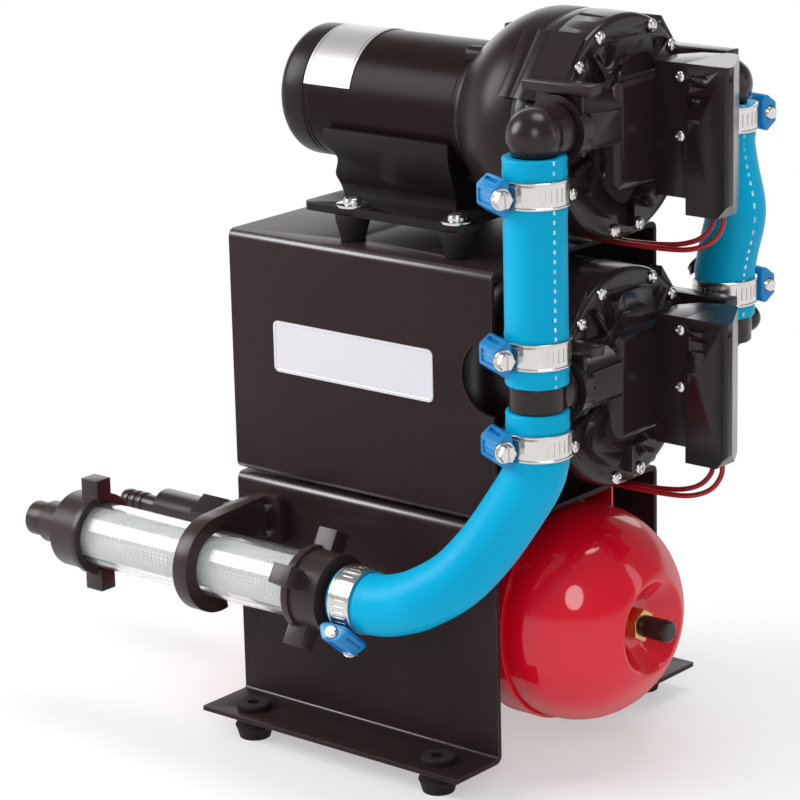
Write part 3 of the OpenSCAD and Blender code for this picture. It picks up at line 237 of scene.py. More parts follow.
def finish(name, special):
    # One surface finish: base colour with wander, grain, paler edges (worn, and on the frame's folds also a
    # painted highlight) and dust
    look = {**usual, **special}
    material, tree, shader = newMaterial(name)
    place = addNode(tree, "ShaderNodeTexCoord").outputs["Object"]
    grain = groupNode(tree, "grain", Vector=place, Scale=look["grainScale"])
    colour = blendColour(tree, grain.outputs["Wander"], tone(look["colour"]), tone(look["second"]))
    roughness = remap(tree, grain.outputs["Wander"], look["rough"])
    if "dust" in look:
        dust = groupNode(tree, "dust", Vector=place, Amount=look["dust"]).outputs["Mask"]
        colour = blendColour(tree, dust, colour, tone(look["dustColour"]))
        dulled = mathNode(tree, "MULTIPLY", dust, look["dustRough"])
        roughness = mathNode(tree, "ADD", roughness, dulled, clamp=True)
    # Paler colour on edges: wear, which on the frame's folds also stands for a painted highlight
    if "wearAndSheen" in look:
        wearAndSheen = groupNode(tree, "wearAndSheen", Vector=place, Amount=look["wearAndSheen"])
        colour = blendColour(tree, wearAndSheen.outputs["Mask"], colour, tone(look["wearAndSheenColour"]))
    if "dashes" in look:
        colour = addDashes(tree, grain, colour, look["dashes"])
    if "border" in look:
        colour = addBorder(tree, place, colour, look["border"])
    bump = addNode(tree, "ShaderNodeBump", Strength=look["bump"], Distance=look["depth"],
                   Height=grain.outputs["Height"])
    sources = {"Base Color": colour, "Roughness": roughness, "Normal": bump.outputs[0], **look["shader"]}
    for label, coat in (("foldCoat", foldCoat), ("edgeCoat", edgeCoat)):
        if label in look:
            sources["Coat Weight"] = coat(tree, look[label])
    for label, source in sources.items():
        feed(tree, shader.inputs[label], source)
    return material


looks = {
    # On the frame the paler pinkish edge colour is partly wear and partly a painted highlight on its folds
    "frameCoat": {"colour": "271a1b", "second": "302122", "rough": (0.36, 0.46), "grainScale": 700.0,
        "bump": 0.3, "depth": 0.00005, "wearAndSheen": 0.3, "wearAndSheenColour": "8d7873", "dust": 0.03,
        "foldCoat": {"coat": 1.0, "flat": 0.99, "round": 0.93},
        "shader": {"Specular IOR Level": 0.13, "Coat Roughness": 0.3, "Coat IOR": 1.7}},
    "motorPaint": {"colour": "1a1010", "second": "221616", "rough": (0.26, 0.34), "grainScale": 500.0,
        "bump": 0.15, "wearAndSheen": 0.2, "dust": 0.02, "shader": {"Specular IOR Level": 0.08}},
    "castBlack": {"colour": "1c1213", "second": "25191a", "rough": (0.28, 0.38), "grainScale": 600.0,
        "bump": 0.3, "depth": 0.00006, "wearAndSheen": 0.25, "dust": 0.03, "shader": {"Specular IOR Level": 0.2}},
    "pumpPlastic": {"colour": "201617", "second": "291d1e", "rough": (0.2, 0.3), "grainScale": 800.0,
        "bump": 0.2, "wearAndSheen": 0.15, "wearAndSheenColour": "6a5c5a", "dust": 0.03,
        "shader": {"Specular IOR Level": 0.35}},
    "basePlastic": {"colour": "120b0c", "second": "1a1112", "rough": (0.36, 0.46), "grainScale": 800.0,
        "bump": 0.3, "wearAndSheen": 0.15, "wearAndSheenColour": "5c5250", "dust": 0.05,
        "shader": {"Specular IOR Level": 0.2}},
    "strainerPlastic": {"colour": "2a1d1d", "second": "352626", "rough": (0.28, 0.38), "grainScale": 800.0,
        "bump": 0.2, "wearAndSheen": 0.2, "wearAndSheenColour": "7d6c69", "dust": 0.04,
        "shader": {"Specular IOR Level": 0.35}},
    "footRubber": {"colour": "1b1414", "second": "241c1c", "rough": (0.6, 0.78), "grainScale": 1100.0,
        "bump": 0.35, "dust": 0.12, "shader": {"Specular IOR Level": 0.2}},
    "plateFilm": {"colour": "dcdadf", "second": "d2d0d6", "rough": (0.25, 0.35), "grainScale": 400.0,
        "bump": 0.05, "shader": {"Coat Weight": 0.3}},
    "labelFoil": {"colour": "c9c6c7", "second": "bcb8ba", "rough": (0.36, 0.48), "grainScale": 300.0,
        "bump": 0.08, "border": {"middle": -46.0, "half": 13.4, "line": 0.45, "colour": "6b6768"},
        "shader": {"Metallic": 0.6}},
    "creamPlastic": {"colour": "d9d4c2", "second": "cdc7b2", "rough": (0.35, 0.5), "bump": 0.2},
    "windings": {"colour": "a8592c", "second": "8a4522", "rough": (0.3, 0.45), "shader": {"Metallic": 1.0}},
    "ferrite": {"colour": "3a3a3d", "second": "2d2d30", "rough": (0.6, 0.75), "bump": 0.4},
    "membrane": {"colour": "1c1818", "second": "272222", "rough": (0.55, 0.7), "bump": 0.3},
    "wireJacket": {"colour": "a50c18", "second": "900914", "rough": (0.3, 0.42), "bump": 0.1},
    "hoseBlue": {"colour": "00acd9", "second": "00a4d0", "rough": (0.34, 0.44), "grainScale": 500.0,
        "bump": 0.12, "shader": {"Specular IOR Level": 0.1},
        "dashes": {"pitch": 4.6, "share": 0.42, "facing": 0.9981, "fading": (-0.9, 2.2), "strength": 0.85,
                   "colour": "f2fbff"}},
    "clampBlue": {"colour": "0086c8", "second": "007abb", "rough": (0.24, 0.36), "grainScale": 700.0,
        "bump": 0.12, "wearAndSheen": 0.25, "wearAndSheenColour": "8fcbe6"},
    "tankRed": {"colour": "e40a27", "second": "d90824", "rough": (0.3, 0.38), "grainScale": 260.0,
        "bump": 0.06, "depth": 0.00006, "edgeCoat": (0.6, 0.9),
        "shader": {"Coat Roughness": 0.06, "Specular IOR Level": 0.05}},
    "turnedBrass": {"colour": "dcb878", "second": "c9a262", "rough": (0.22, 0.34), "bump": 0.15,
        "wearAndSheen": 0.3, "wearAndSheenColour": "f2e0b6", "shader": {"Metallic": 1.0}},
    "stainless": {"colour": "e2dfdd", "second": "d2cfcc", "rough": (0.16, 0.26), "bump": 0.12, "wearAndSheen": 0.25,
        "wearAndSheenColour": "f6f4f2", "shader": {"Metallic": 1.0}},
    "groundSteel": {"colour": "b5b3b2", "second": "a4a2a1", "rough": (0.28, 0.4), "bump": 0.15,
        "shader": {"Metallic": 1.0}},
    "sieveWhite": {"colour": "fbfbfb", "second": "f4f5f6", "rough": (0.45, 0.6), "bump": 0.1},
    "clearPlastic": {"colour": "ffffff", "second": "fafcfd", "rough": (0.03, 0.07), "grainScale": 120.0,
        "bump": 0.03, "shader": {"Transmission Weight": 0.96, "IOR": 1.4}},
}
finishes = {name: finish(name, look) for name, look in looks.items()}
print("finishes ready:", len(finishes))


# Helpers that put pieces into the frame

def newObject(name, data):
    made = bpy.data.objects.new(name, data)
    scene.collection.objects.link(made)
    return made


def addPiece(name, bm, body, finishName, replaced, angle, recalc):
    if recalc:
        outward(bm)
    mesh = takeMesh(bm, name)
    mesh.shade_smooth()
    mesh.set_sharp_from_angle(angle=math.radians(angle))
    mesh.materials.append(finishes[finishName])
    piece = newObject(name, mesh)
    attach(piece, body)
    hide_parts(*replaced)


def spot(x, y, z):
    return Matrix.Translation(Vector((x, y, z)) * mm)


def turn(degrees, axis):
    return Matrix.Rotation(math.radians(degrees), 4, axis)


def outward(bm):
    bmesh.ops.recalc_face_normals(bm, faces=bm.faces)


def onlyVerts(geometry):
    return [g for g in geometry if isinstance(g, bmesh.types.BMVert)]


def ringEdges(verts):
    chosen = set(verts)
    return list({e for v in chosen for e in v.link_edges if e.other_vert(v) in chosen})


def lathe(bm, outline, steps, matrix=None, closed=True, degrees=360):
    # Spins (radius, station) points about X
    verts = [bm.verts.new((station * mm, radius * mm, 0)) for radius, station in outline]
    edges = [bm.edges.new(pair) for pair in zip(verts, verts[1:])]
    if closed:
        edges.append(bm.edges.new((verts[-1], verts[0])))
    before = set(bm.verts) - set(verts)
    bmesh.ops.spin(bm, geom=verts + edges, cent=(0, 0, 0), axis=(1, 0, 0), dvec=(0, 0, 0),
                   angle=math.radians(degrees), steps=steps, use_merge=degrees == 360, use_duplicate=False)
    made = [v for v in bm.verts if v not in before]
    bmesh.ops.remove_doubles(bm, verts=made, dist=seamGap)
    made = [v for v in bm.verts if v not in before]
    if matrix is not None:
        bmesh.ops.transform(bm, matrix=matrix, verts=made)
    return made


def prism(bm, outline, depth, matrix=None):
    # An outline in X and Y raised along Z
    face = bm.faces.new([bm.verts.new((x * mm, y * mm, 0)) for x, y in outline])
    grown = onlyVerts(bmesh.ops.extrude_face_region(bm, geom=[face])["geom"])
    bmesh.ops.translate(bm, verts=grown, vec=(0, 0, depth * mm))
    made = grown + list(face.verts)
    if matrix is not None:
        bmesh.ops.transform(bm, matrix=matrix, verts=made)
    return made


def box(bm, low, high, matrix=None):
    centre = [(a + b) / 2 for a, b in zip(low, high)]
    size = [b - a for a, b in zip(low, high)]
    shape = (matrix or Matrix()) @ spot(*centre) @ Matrix.Diagonal(Vector((*size, 1))) @ Matrix.Scale(mm, 4)
    return bmesh.ops.create_cube(bm, size=1, matrix=shape)["verts"]


def sharpEdges(bm, angle=30):
    return [e for e in bm.edges if len(e.link_faces) == 2 and e.calc_face_angle() > math.radians(angle)]


def bevelEdges(bm, edges, width, segments):
    bmesh.ops.bevel(bm, geom=edges, offset=width * mm, offset_type="OFFSET", affect="EDGES",
                    segments=segments, profile=0.5, material=-1, clamp_overlap=True)


def bevelVerts(bm, verts, width, segments=3, angle=30):
    chosen = set(verts)
    bevelEdges(bm, [e for e in sharpEdges(bm, angle) if chosen.issuperset(e.verts)], width, segments)


def bevelWhere(bm, chosen, width, segments):
    # Bevels the sharp edges that the test picks by their two ends, in mm
    bevelEdges(bm, [e for e in sharpEdges(bm) if chosen(*[v.co / mm for v in e.verts])], width, segments)


def spline(points, steps):
    # Smooth curve through the points, drawn as in the CAD
    points = [Vector(p) for p in points]
    curve = []
    for i in range(len(points) - 1):
        before, here, there = points[max(i - 1, 0)], points[i], points[i + 1]
        after = points[min(i + 2, len(points) - 1)]
        for j in range(steps):
            t = j / steps
            curve.append(0.5 * (2 * here + (there - before) * t
                                + (2 * before - 5 * here + 4 * there - after) * t * t
                                + (3 * here - before - 3 * there + after) * t ** 3))
    return curve + [points[-1]]


def carried(curve, side=(0, 1, 0)):
    # Distance, place and turn at each point, with the side vector carried along
    places, side, run = [], Vector(side), 0.0
    for i, point in enumerate(curve):
        ahead = (curve[min(i + 1, len(curve) - 1)] - curve[max(i - 1, 0)]).normalized()
        side = (side - ahead * side.dot(ahead)).normalized()
        if i:
            run += (point - curve[i - 1]).length
        places.append((run, point, Matrix((side, ahead.cross(side), ahead)).transposed()))
    return places


def placeAt(places, run):
    for start, end in zip(places, places[1:]):
        if run <= end[0]:
            break
    t = (run - start[0]) / (end[0] - start[0])
    turned = start[2].to_quaternion().slerp(end[2].to_quaternion(), min(max(t, 0), 1)).to_matrix()
    return start[1].lerp(end[1], t), turned


def sweep(bm, places, outline, segments, closed=True, facing=None):
    # Rings of (distance, radius), each extruded from the one before and put in its place
    along = bm.verts.layers.float.get("along") or bm.verts.layers.float.new("along")
    faced = bm.verts.layers.float.get("facing") or bm.verts.layers.float.new("facing")
    first = edges = last = None
    for run, radius in outline:
        point, turned = placeAt(places, run)
        target = Matrix.Translation(point * mm) @ turned.to_4x4() @ Matrix.Scale(radius * mm, 4)
        if first is None:
            made = bmesh.ops.create_circle(bm, segments=segments, radius=1, matrix=target)["verts"]
            first = edges = ringEdges(made)
        else:
            made = onlyVerts(bmesh.ops.extrude_edge_only(bm, edges=edges)["geom"])
            bmesh.ops.transform(bm, matrix=target @ last.inverted(), verts=made)
            edges = ringEdges(made)
        back = target.inverted()
        for vert in made:
            local = back @ vert.co
            vert[along] = run
            vert[faced] = 0.0 if facing is None else local.x * math.cos(facing) + local.y * math.sin(facing)
        last = target
    if closed:
        bmesh.ops.bridge_loops(bm, edges=first + edges)
    else:
        bmesh.ops.edgeloop_fill(bm, edges=first)
        bmesh.ops.edgeloop_fill(bm, edges=edges)


def takeMesh(bm, name="scratch"):
    mesh = bpy.data.meshes.new(name)
    bm.to_mesh(mesh)
    bm.free()
    return mesh


def spread(source, matrices):
    # Copies of one small shape, one at each matrix
    stamp = takeMesh(source)
    bm = bmesh.new()
    for matrix in matrices:
        before = len(bm.verts)
        bm.from_mesh(stamp)
        bm.verts.ensure_lookup_table()
        bmesh.ops.transform(bm, matrix=matrix, verts=bm.verts[before:])
    bpy.data.meshes.remove(stamp)
    return bm


def modified(bm, kind, settings, cutter=None):
    # The shape after one modifier
    holder = newObject("scratch", takeMesh(bm))
    modifier = holder.modifiers.new("step", kind)
    tool = None
    if cutter is not None:
        tool = newObject("scratchTool", takeMesh(cutter))
        modifier.object = tool
    for key, value in settings.items():
        setattr(modifier, key, value)
    shaped = bpy.data.meshes.new_from_object(holder.evaluated_get(bpy.context.evaluated_depsgraph_get()))
    result = bmesh.new()
    result.from_mesh(shaped)
    for used in filter(None, (holder, tool)):
        mesh = used.data
        bpy.data.objects.remove(used)
        bpy.data.meshes.remove(mesh)
    bpy.data.meshes.remove(shaped)
    return result


def cutOut(bm, *cutters):
    for cutter in cutters:
        outward(cutter)
        bm = modified(bm, "BOOLEAN", {"operation": "DIFFERENCE", "solver": "EXACT"}, cutter)
    return bm


def instead(nodeName, bm, finishName, angle, recalc=True):
    # A new piece in place of a CAD node, in its body, with the given finish
    addPiece(nodeName + "Look", bm, nodes[nodeName]["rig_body"], finishName,
             (nodeName,), angle, recalc)


merging = {"gap": 0.01, "flat": 0.6}  # mm and degrees within which a CAD mesh is joined up
softening = {"segments": 3, "smooth": 40}
casting = {"voxel": 0.5, "rounds": 8, "factor": 0.5, "smooth": 60}


def cadMesh(nodeName):
    # A merged copy of a CAD node with its flat faces joined up
    bm = bmesh.new()
    bm.from_mesh(nodes[nodeName].data)
    bmesh.ops.remove_doubles(bm, verts=bm.verts, dist=merging["gap"] * mm)
    bmesh.ops.dissolve_limit(bm, angle_limit=math.radians(merging["flat"]), verts=bm.verts, edges=bm.edges)
    return bm


def softened(nodeName, finishName, width):
    # A CAD node's shape with its sharp edges rounded
    bm = cadMesh(nodeName)
    bevelEdges(bm, sharpEdges(bm), width, softening["segments"])
    instead(nodeName, bm, finishName, softening["smooth"], recalc=False)


def castSmooth(nodeName, finishName):
    # A CAD node's shape melted together, so that its parts blend like one moulding
    bm = modified(cadMesh(nodeName), "REMESH", {"mode": "VOXEL", "voxel_size": casting["voxel"] * mm})
    for _ in range(casting["rounds"]):
        bmesh.ops.smooth_vert(bm, verts=bm.verts, factor=casting["factor"],
                              use_axis_x=True, use_axis_y=True, use_axis_z=True)
    instead(nodeName, bm, finishName, casting["smooth"])


def keepNode(nodeName, finishName):
    mesh = nodes[nodeName].data
    mesh.materials.clear()
    mesh.materials.append(finishes[finishName])


# Hoses with a wall, squeezed by their clamps

hoseShape = {"segments": 64, "curveSteps": 10, "step": 1.6, "squeeze": 0.75, "squeezeReach": 7.0,
             "bulge": 0.3, "bulgeAt": 8.6, "bulgeWidth": 1.6, "lip": 0.2, "lipReach": 4,
             "rimInset": 0.9, "rim": ((0.0, 0.8), (0.3, 0.2)),
             "boreFlare": 0.5, "boreInset": 0.6, "boreRings": 12}


def hoseOutline(length, bands):
    shape, bore = hoseShape, hose["bore"]

    def radius(run):
        size = hose["radius"]
        for band in bands:
            away = abs(run - band)
            size -= shape["squeeze"] * max(0.0, 1 - (away / shape["squeezeReach"]) ** 4)
            size += shape["bulge"] * math.exp(-((away - shape["bulgeAt"]) / shape["bulgeWidth"]) ** 2)
        end = min(run, length - run)
        return size + shape["lip"] * max(0.0, 1 - end / shape["lipReach"])

    def stations(inset, count):
        return [inset + (length - 2 * inset) * i / count for i in range(count + 1)]

    outer = [(run, radius(run)) for run in stations(shape["rimInset"], round(length / shape["step"]))]
    start = [(0.0, bore + shape["boreFlare"])]
    start += [(run, outer[0][1] - drop) for run, drop in shape["rim"]]
    end = [(length - run, size) for run, size in reversed(start)]
    inner = [(length - run, bore) for run in stations(shape["boreInset"], shape["boreRings"])]
    return start + outer + end + inner


def makeHose(nodeName, route, clampRuns, dashTurn=None):
    # dashTurn is the side of the hose that carries the dashes, in degrees
    places = carried(spline(route, hoseShape["curveSteps"]))
    length = places[-1][0]
    bands = [run if run >= 0 else length + run for run in clampRuns]
    bm = bmesh.new()
    facing = None if dashTurn is None else math.radians(dashTurn)
    sweep(bm, places, hoseOutline(length, bands), hoseShape["segments"], facing=facing)
    instead(nodeName, bm, "hoseBlue", 50)


hx, hy, linkTop, linkBottom = hose["x"], hose["y"], hose["linkTop"], hose["linkBottom"]
rearEnd = ((0, 0), (11, 0), (22, 0), (35, 2.5))  # run from either end and how far the rear hose bows out
rearMiddle = 6.5
linkRoute = [(hx, -hy, linkBottom + (linkTop - linkBottom) * i / 4) for i in range(5)]
rearRoute = [(hx + out, hy, linkTop - run) for run, out in rearEnd]
rearRoute += [(hx + rearMiddle, hy, (linkTop + linkBottom) / 2)]
rearRoute += [(hx + out, hy, linkBottom + run) for run, out in reversed(rearEnd)]
suctionRoute = [(hx, -hy, hose["suctionTop"] - run) for run, out in rearEnd[:3]]
suctionRoute += [(116.5, -79, 170), (109, -83, 155), (97, -90, 134.5), (85, -99, 118.5),
                 (70, -105.5, 108), (57, -107, 102.3)]
suctionRoute += [(x, strainer["y"], strainer["z"]) for x in (45, 32, 22)]
# Centre line, runs of the clamps (from the far end if below zero) and the side with dashes
hoses = {
    "suction_link_hose": (linkRoute, (15.8, -16.3), 253),
    "discharge_link_hose": (rearRoute, (6.9, -13.4), 107),
    "suction_hose": (suctionRoute, (15.7, -9.0)),
}
for nodeName, details in hoses.items():
    makeHose(nodeName, *details)
print("hoses ready")


# Worm clamps: slotted band, winged housing and screw

clamp = {
    "screwX": 21.65, "turns": {"front": -117, "rear": 75, "strainer": -40},
    "band": {"inner": 14.9, "outer": 16.15, "rim": 16.6, "half": 6.5, "groove": 3.4},
    "slots": {"every": 3, "border": 0.16, "slope": 0.03, "depth": 0.45},
    "tail": {"start": 20, "end": 66, "low": 0.05, "high": 0.75, "width": 9.6, "bevel": 0.2},
    "housing": {"section": [(16.9, -6.2), (18.2, -8.6), (20.2, -9.1), (25.7, -4.8), (25.7, 4.8), (20.2, 9.1),
                            (18.2, 8.6), (16.9, 6.2)], "length": 18, "bevel": 0.9, "bevelAngle": 15,
                "bore": [(0, -12), (3.4, -12), (3.4, 12), (0, 12)],
                "windows": [((20.2, -6.5, z - 0.7), (26.5, 6.5, z + 0.7)) for z in (-7.6, 7.6)]
                + [((24.8, -6.5, -3.2), (26.5, 6.5, 3.2))]},
    "screw": {"tip": [(0, -11), (2.4, -11)], "radii": (3.0, 2.55), "start": -10.6, "step": 0.5, "points": 39,
              "collar": [(3.0, 9.0), (5.1, 9.0), (5.2, 9.2), (5.2, 9.9), (4.9, 10.1), (0, 10.1)],
              "slot": ((12.7, -0.6, -6), (15, 0.6, 6))},
    "hex": {"radius": 4.4, "start": 9.8, "height": 4.1, "bevel": 0.5},
}
screwPlace = spot(clamp["screwX"], 0, 0) @ turn(90, "Z")
clampSpots = [spot(hx, -hy, z) @ turn(clamp["turns"]["front"], "Z")
              for z in hose["frontBands"] + (hose["suctionBand"],)]
clampSpots += [spot(hx, hy, z) @ turn(clamp["turns"]["rear"], "Z") for z in hose["rearBands"]]
clampSpots += [spot(strainer["band"], strainer["y"], strainer["z"]) @ turn(90, "Y")
               @ turn(clamp["turns"]["strainer"], "Z")]


def arcPoints(radius, start, end, count=12):
    angles = [math.radians(start + (end - start) * i / count) for i in range(count + 1)]
    return [(radius * math.cos(a), radius * math.sin(a)) for a in angles]


def clampBand():
    bm = bmesh.new()
    band, cut, tail = clamp["band"], clamp["slots"], clamp["tail"]
    half, rim, outer = band["half"], band["rim"], band["outer"]
    side = [(band["inner"], half - 0.1), (rim - 0.3, half), (rim, half - 0.3), (rim, half - 1.0),
            (outer, half - 1.4), (outer, band["groove"])]
    lathe(bm, side + [(radius, -station) for radius, station in reversed(side)], 96, turn(-90, "Y"))
    # The faces round the middle of the groove, in order, take the worm slots
    middle = [f for f in bm.faces if abs(f.calc_center_median().z) < 0.5 * mm
              and f.calc_center_median().xy.length > (outer - 0.3) * mm]
    middle.sort(key=lambda f: math.atan2(f.calc_center_median().y, f.calc_center_median().x))
    slots = middle[::cut["every"]]
    bmesh.ops.inset_individual(bm, faces=slots, thickness=cut["border"] * mm, depth=0)
    bmesh.ops.inset_individual(bm, faces=slots, thickness=cut["slope"] * mm, depth=-cut["depth"] * mm)
    strip = arcPoints(outer + tail["low"], tail["start"], tail["end"])
    strip += arcPoints(outer + tail["high"], tail["end"], tail["start"])
    bevelVerts(bm, prism(bm, strip, tail["width"], spot(0, 0, -tail["width"] / 2)), tail["bevel"], 1)
    return bm


def clampHousing():
    bm = bmesh.new()
    shape = clamp["housing"]
    body = prism(bm, shape["section"], shape["length"], spot(0, shape["length"] / 2, 0) @ turn(90, "X"))
    bevelVerts(bm, body, shape["bevel"], 3, shape["bevelAngle"])
    outward(bm)
    cutter = bmesh.new()
    lathe(cutter, shape["bore"], 32, screwPlace, closed=False)
    for corners in shape["windows"]:
        box(cutter, *corners)
    return cutOut(bm, cutter)


def clampScrew():
    bm = bmesh.new()
    screw, hexagon = clamp["screw"], clamp["hex"]
    thread = [(screw["radii"][i % 2], screw["start"] + screw["step"] * i) for i in range(screw["points"])]
    lathe(bm, screw["tip"] + thread + screw["collar"], 32, closed=False)
    head = bmesh.ops.create_circle(bm, cap_ends=True, segments=6, radius=hexagon["radius"] * mm,
                                   matrix=turn(90, "Y"))["verts"]
    bmesh.ops.translate(bm, verts=head, vec=(hexagon["start"] * mm, 0, 0))
    cap = list({f for v in head for f in v.link_faces})
    grown = onlyVerts(bmesh.ops.extrude_face_region(bm, geom=cap)["geom"])
    bmesh.ops.translate(bm, verts=grown, vec=(hexagon["height"] * mm, 0, 0))
    bevelVerts(bm, grown, hexagon["bevel"], 2)
    outward(bm)
    slot = bmesh.new()
    box(slot, *screw["slot"])
    shaped = cutOut(bm, slot)
    bmesh.ops.transform(shaped, matrix=screwPlace, verts=shaped.verts)
    return shaped


instead("clamp_bands", spread(clampBand(), clampSpots), "stainless", 30)
instead("clamp_housings", spread(clampHousing(), clampSpots), "clampBlue", 30)
instead("clamp_screws", spread(clampScrew(), clampSpots), "stainless", 30)
print("clamps ready")


# Motors and drive housings

can = {"wall": 2.5, "edge": 0.5, "bead": ((0, 2.2), (0.35, 2.6), (0.35, 3.1), (0, 3.5))}
housing = {
    "small": 34.2, "big": 54.5, "flareRun": 38, "wall": 4, "mouth": (48, 80),
    "collar": ((34.6, 0), (35.3, 0.5), (35.5, 1.2), (35.6, 2.4)), "rim": ((54.5, 76), (54.5, 84.6)),
    "floor": [(5, 50), (5, 46), (11.1, 46)], "lug": ((45, -5, 30), (51, 5, 44.6)), "lugBevel": 1.2,
    "boltTurns": (58, 122, 238, 302), "boltOut": 2.6,
    "bolt": ((0, 34), (2.2, 34), (2.6, 34.4), (2.6, 35.6), (4.0, 35.6), (4.3, 36), (4.3, 47),
             (3.9, 49), (0, 51)),
    "gusset": ((30, 22), (54, 20), (31, 49)), "gussetX": 78, "gussetDepth": 8, "gussetBevel": 0.8,
}
alongX = Matrix(((0, 0, 1, 0), (1, 0, 0, 0), (0, 1, 0, 0), (0, 0, 0, 1)))


def flare(x):
    small, big = housing["small"], housing["big"]
    share = min(1, max(0, (x - pump["canEnd"]) / housing["flareRun"]))
    return small + (big - small) * math.sin(math.pi / 2 * share)


def motorCan():
    bm = bmesh.new()
    r, x0, x1, edge = pump["motorRadius"], pump["canStart"], pump["canEnd"], can["edge"]
    inside = r - can["wall"]
    outline = [(inside, x0), (r - edge, x0), (r, x0 + edge)]
    outline += [(r - dip, x0 + run) for dip, run in can["bead"]]
    outline += [(r - dip, x1 - run) for dip, run in reversed(can["bead"])]
    lathe(bm, outline + [(r, x1 - edge), (r - edge, x1), (inside, x1)], 96)
    return bm


def driveHousing():
    bm = bmesh.new()
    x0, x1, big, mouth = pump["canEnd"], pump["housingEnd"], housing["big"], housing["mouth"]
    outer = [(size, x0 + run) for size, run in housing["collar"]]
    outer += [(flare(x0 + run), x0 + run) for run in range(4, 39, 2)]
    outer += [*housing["rim"], (big - 0.3, x1 - 0.3), (big - 0.8, x1)]
    inner = [(mouth[0], x1), mouth] + [(flare(x) - housing["wall"], x) for x in range(74, 49, -4)]
    lathe(bm, outer + inner + housing["floor"] + [(housing["floor"][-1][0], x0)], 96)
    bevelVerts(bm, box(bm, *housing["lug"]), housing["lugBevel"])
    for angle in housing["boltTurns"]:
        place = turn(angle, "X") @ spot(0, pump["motorRadius"] + housing["boltOut"], 0)
        lathe(bm, housing["bolt"], 24, place, closed=False)
    for side in (1, -1):
        gusset = prism(bm, [(y * side, z) for y, z in housing["gusset"]], housing["gussetDepth"],
                       spot(housing["gussetX"], 0, 0) @ alongX)
        bevelVerts(bm, gusset, housing["gussetBevel"], 2)
    return bm


for which, z in pump["axes"].items():
    for nodeName, build, finishName in ((which + "_motor_can", motorCan, "motorPaint"),
                                        (which + "_drive_housing", driveHousing, "castBlack")):
        instead(nodeName, spread(build(), [spot(0, 0, z)]), finishName, 32)
print("motors ready")


# Screws with cross recesses

panScrews = {
    "cover": {"radius": 3.4, "height": 2.4, "shank": 2, "length": 11, "recess": 1.3},
    "switch": {"radius": 2.8, "height": 2.2, "shank": 1.4, "length": 5, "recess": 1.1},
}
screwHead = {"edge": 0.15, "brim": 0.35, "armHalf": 0.36, "armReach": 0.58}
switchScrewPlaces = {"x": 140, "y": 8.5, "rises": (25.5, -3)}
mountRecess = ((-1.5, -0.5, -2.6), (1, 0.5, 2.6))
mountBevel = 0.2
crossTurns = (0, 90)


def panScrew(radius, height, shank, length, recess):
    # Head on the X side of the origin, shank behind it
    bm = bmesh.new()
    edge, brim = screwHead["edge"], screwHead["brim"]
    dome = [(radius * math.cos(a), height * (brim + (1 - brim) * math.sin(a)))
            for a in map(math.radians, range(0, 90, 15))]
    lathe(bm, [(0, -length), (shank, -length), (shank, 0), (radius - edge, 0), (radius, edge)] + dome
          + [(0, height)], 32, closed=False)
    outward(bm)
    half, reach = screwHead["armHalf"], radius * screwHead["armReach"]
    arms = []
    for angle in crossTurns:
        arms.append(bmesh.new())
        box(arms[-1], (height - recess, -half, -reach), (height + 2, half, reach), turn(angle, "X"))
    return cutOut(bm, *arms)


screwTurns = [pump["lobeStart"] + pump["lobeStep"] * i + side * pump["screwSpread"]
              for i in range(5) for side in (-1, 1)]
coverSpots = [spot(pump["coverEnd"], 0, z) @ turn(angle, "X") @ spot(0, pump["screwRing"], 0)
              for z in axes for angle in screwTurns]
switchSpots = [spot(switchScrewPlaces["x"], switchScrewPlaces["y"], z + rise) @ turn(-90, "Z")
               for z in axes for rise in switchScrewPlaces["rises"]]
coverScrews = spread(panScrew(**panScrews["cover"]), coverSpots)
switchScrews = takeMesh(spread(panScrew(**panScrews["switch"]), switchSpots))
coverScrews.from_mesh(switchScrews)
instead("cover_screws", coverScrews, "stainless", 30)

mountHeads = [spot(x, y, top) @ turn(-90, "Y")
              for x in pump["mountXs"] for y in pump["mountYs"] for top in pump["mountTops"]]
recesses = [bmesh.new() for angle in crossTurns]
for arm, angle in zip(recesses, crossTurns):
    for place in mountHeads:
        box(arm, *mountRecess, place @ turn(angle, "X"))
mountScrews = cadMesh("mount_screws")
bevelEdges(mountScrews, sharpEdges(mountScrews), mountBevel, 2)
instead("mount_screws", cutOut(mountScrews, *recesses), "stainless", 30, recalc=False)
print("screws ready")


# Wires; the last number of a point is its height above the pump's axis

wires = {
    "radius": 1.3, "sides": 12, "curveSteps": 5, "rings": 60,
    "routes": (
        ((158, 18, -39.5), (158, 17, -47), (154, 14, -54), (145, 11, -58), (132, 10, -59.5), (112, 10, -60),
         (96, 10, -60), (84, 10, -59.5), (72, 10, -58.5), (63, 10, -57), (60, 10, -53), (60, 10, -47)),
        ((151, 20, -39.5), (151, 19, -47), (147, 16, -53), (139, 14, -56.5), (128, 14, -58.5),
         (110, 14.5, -60), (95, 15, -60), (84, 15, -59.5), (74, 15, -58.5), (65, 15, -57), (62, 15, -53),
         (62, 15, -47))),
}


def makeWires():
    bm = bmesh.new()
    count = wires["rings"]
    for z in axes:
        for route in wires["routes"]:
            places = carried(spline([(x, y, z + rise) for x, y, rise in route], wires["curveSteps"]))
            outline = [(places[-1][0] * i / count, wires["radius"]) for i in range(count + 1)]
            sweep(bm, places, outline, wires["sides"], closed=False)
    return bm


instead("switch_wires", makeWires(), "wireJacket", 50)


# Bare labels and plate

plate = {"low": (-55.3, 192.3), "high": (47.5, 218.8), "corner": 3, "y": -67.5, "thickness": 0.55,
         "frames": ((0.25, 0.05), (1.1, 0), (0.3, -0.2))}  # frame widths and how far each rises
label = {"outline": [(33.6, -61), (34.0, -61), (34.0, -31), (33.6, -31)], "turn": 40, "degrees": 125}


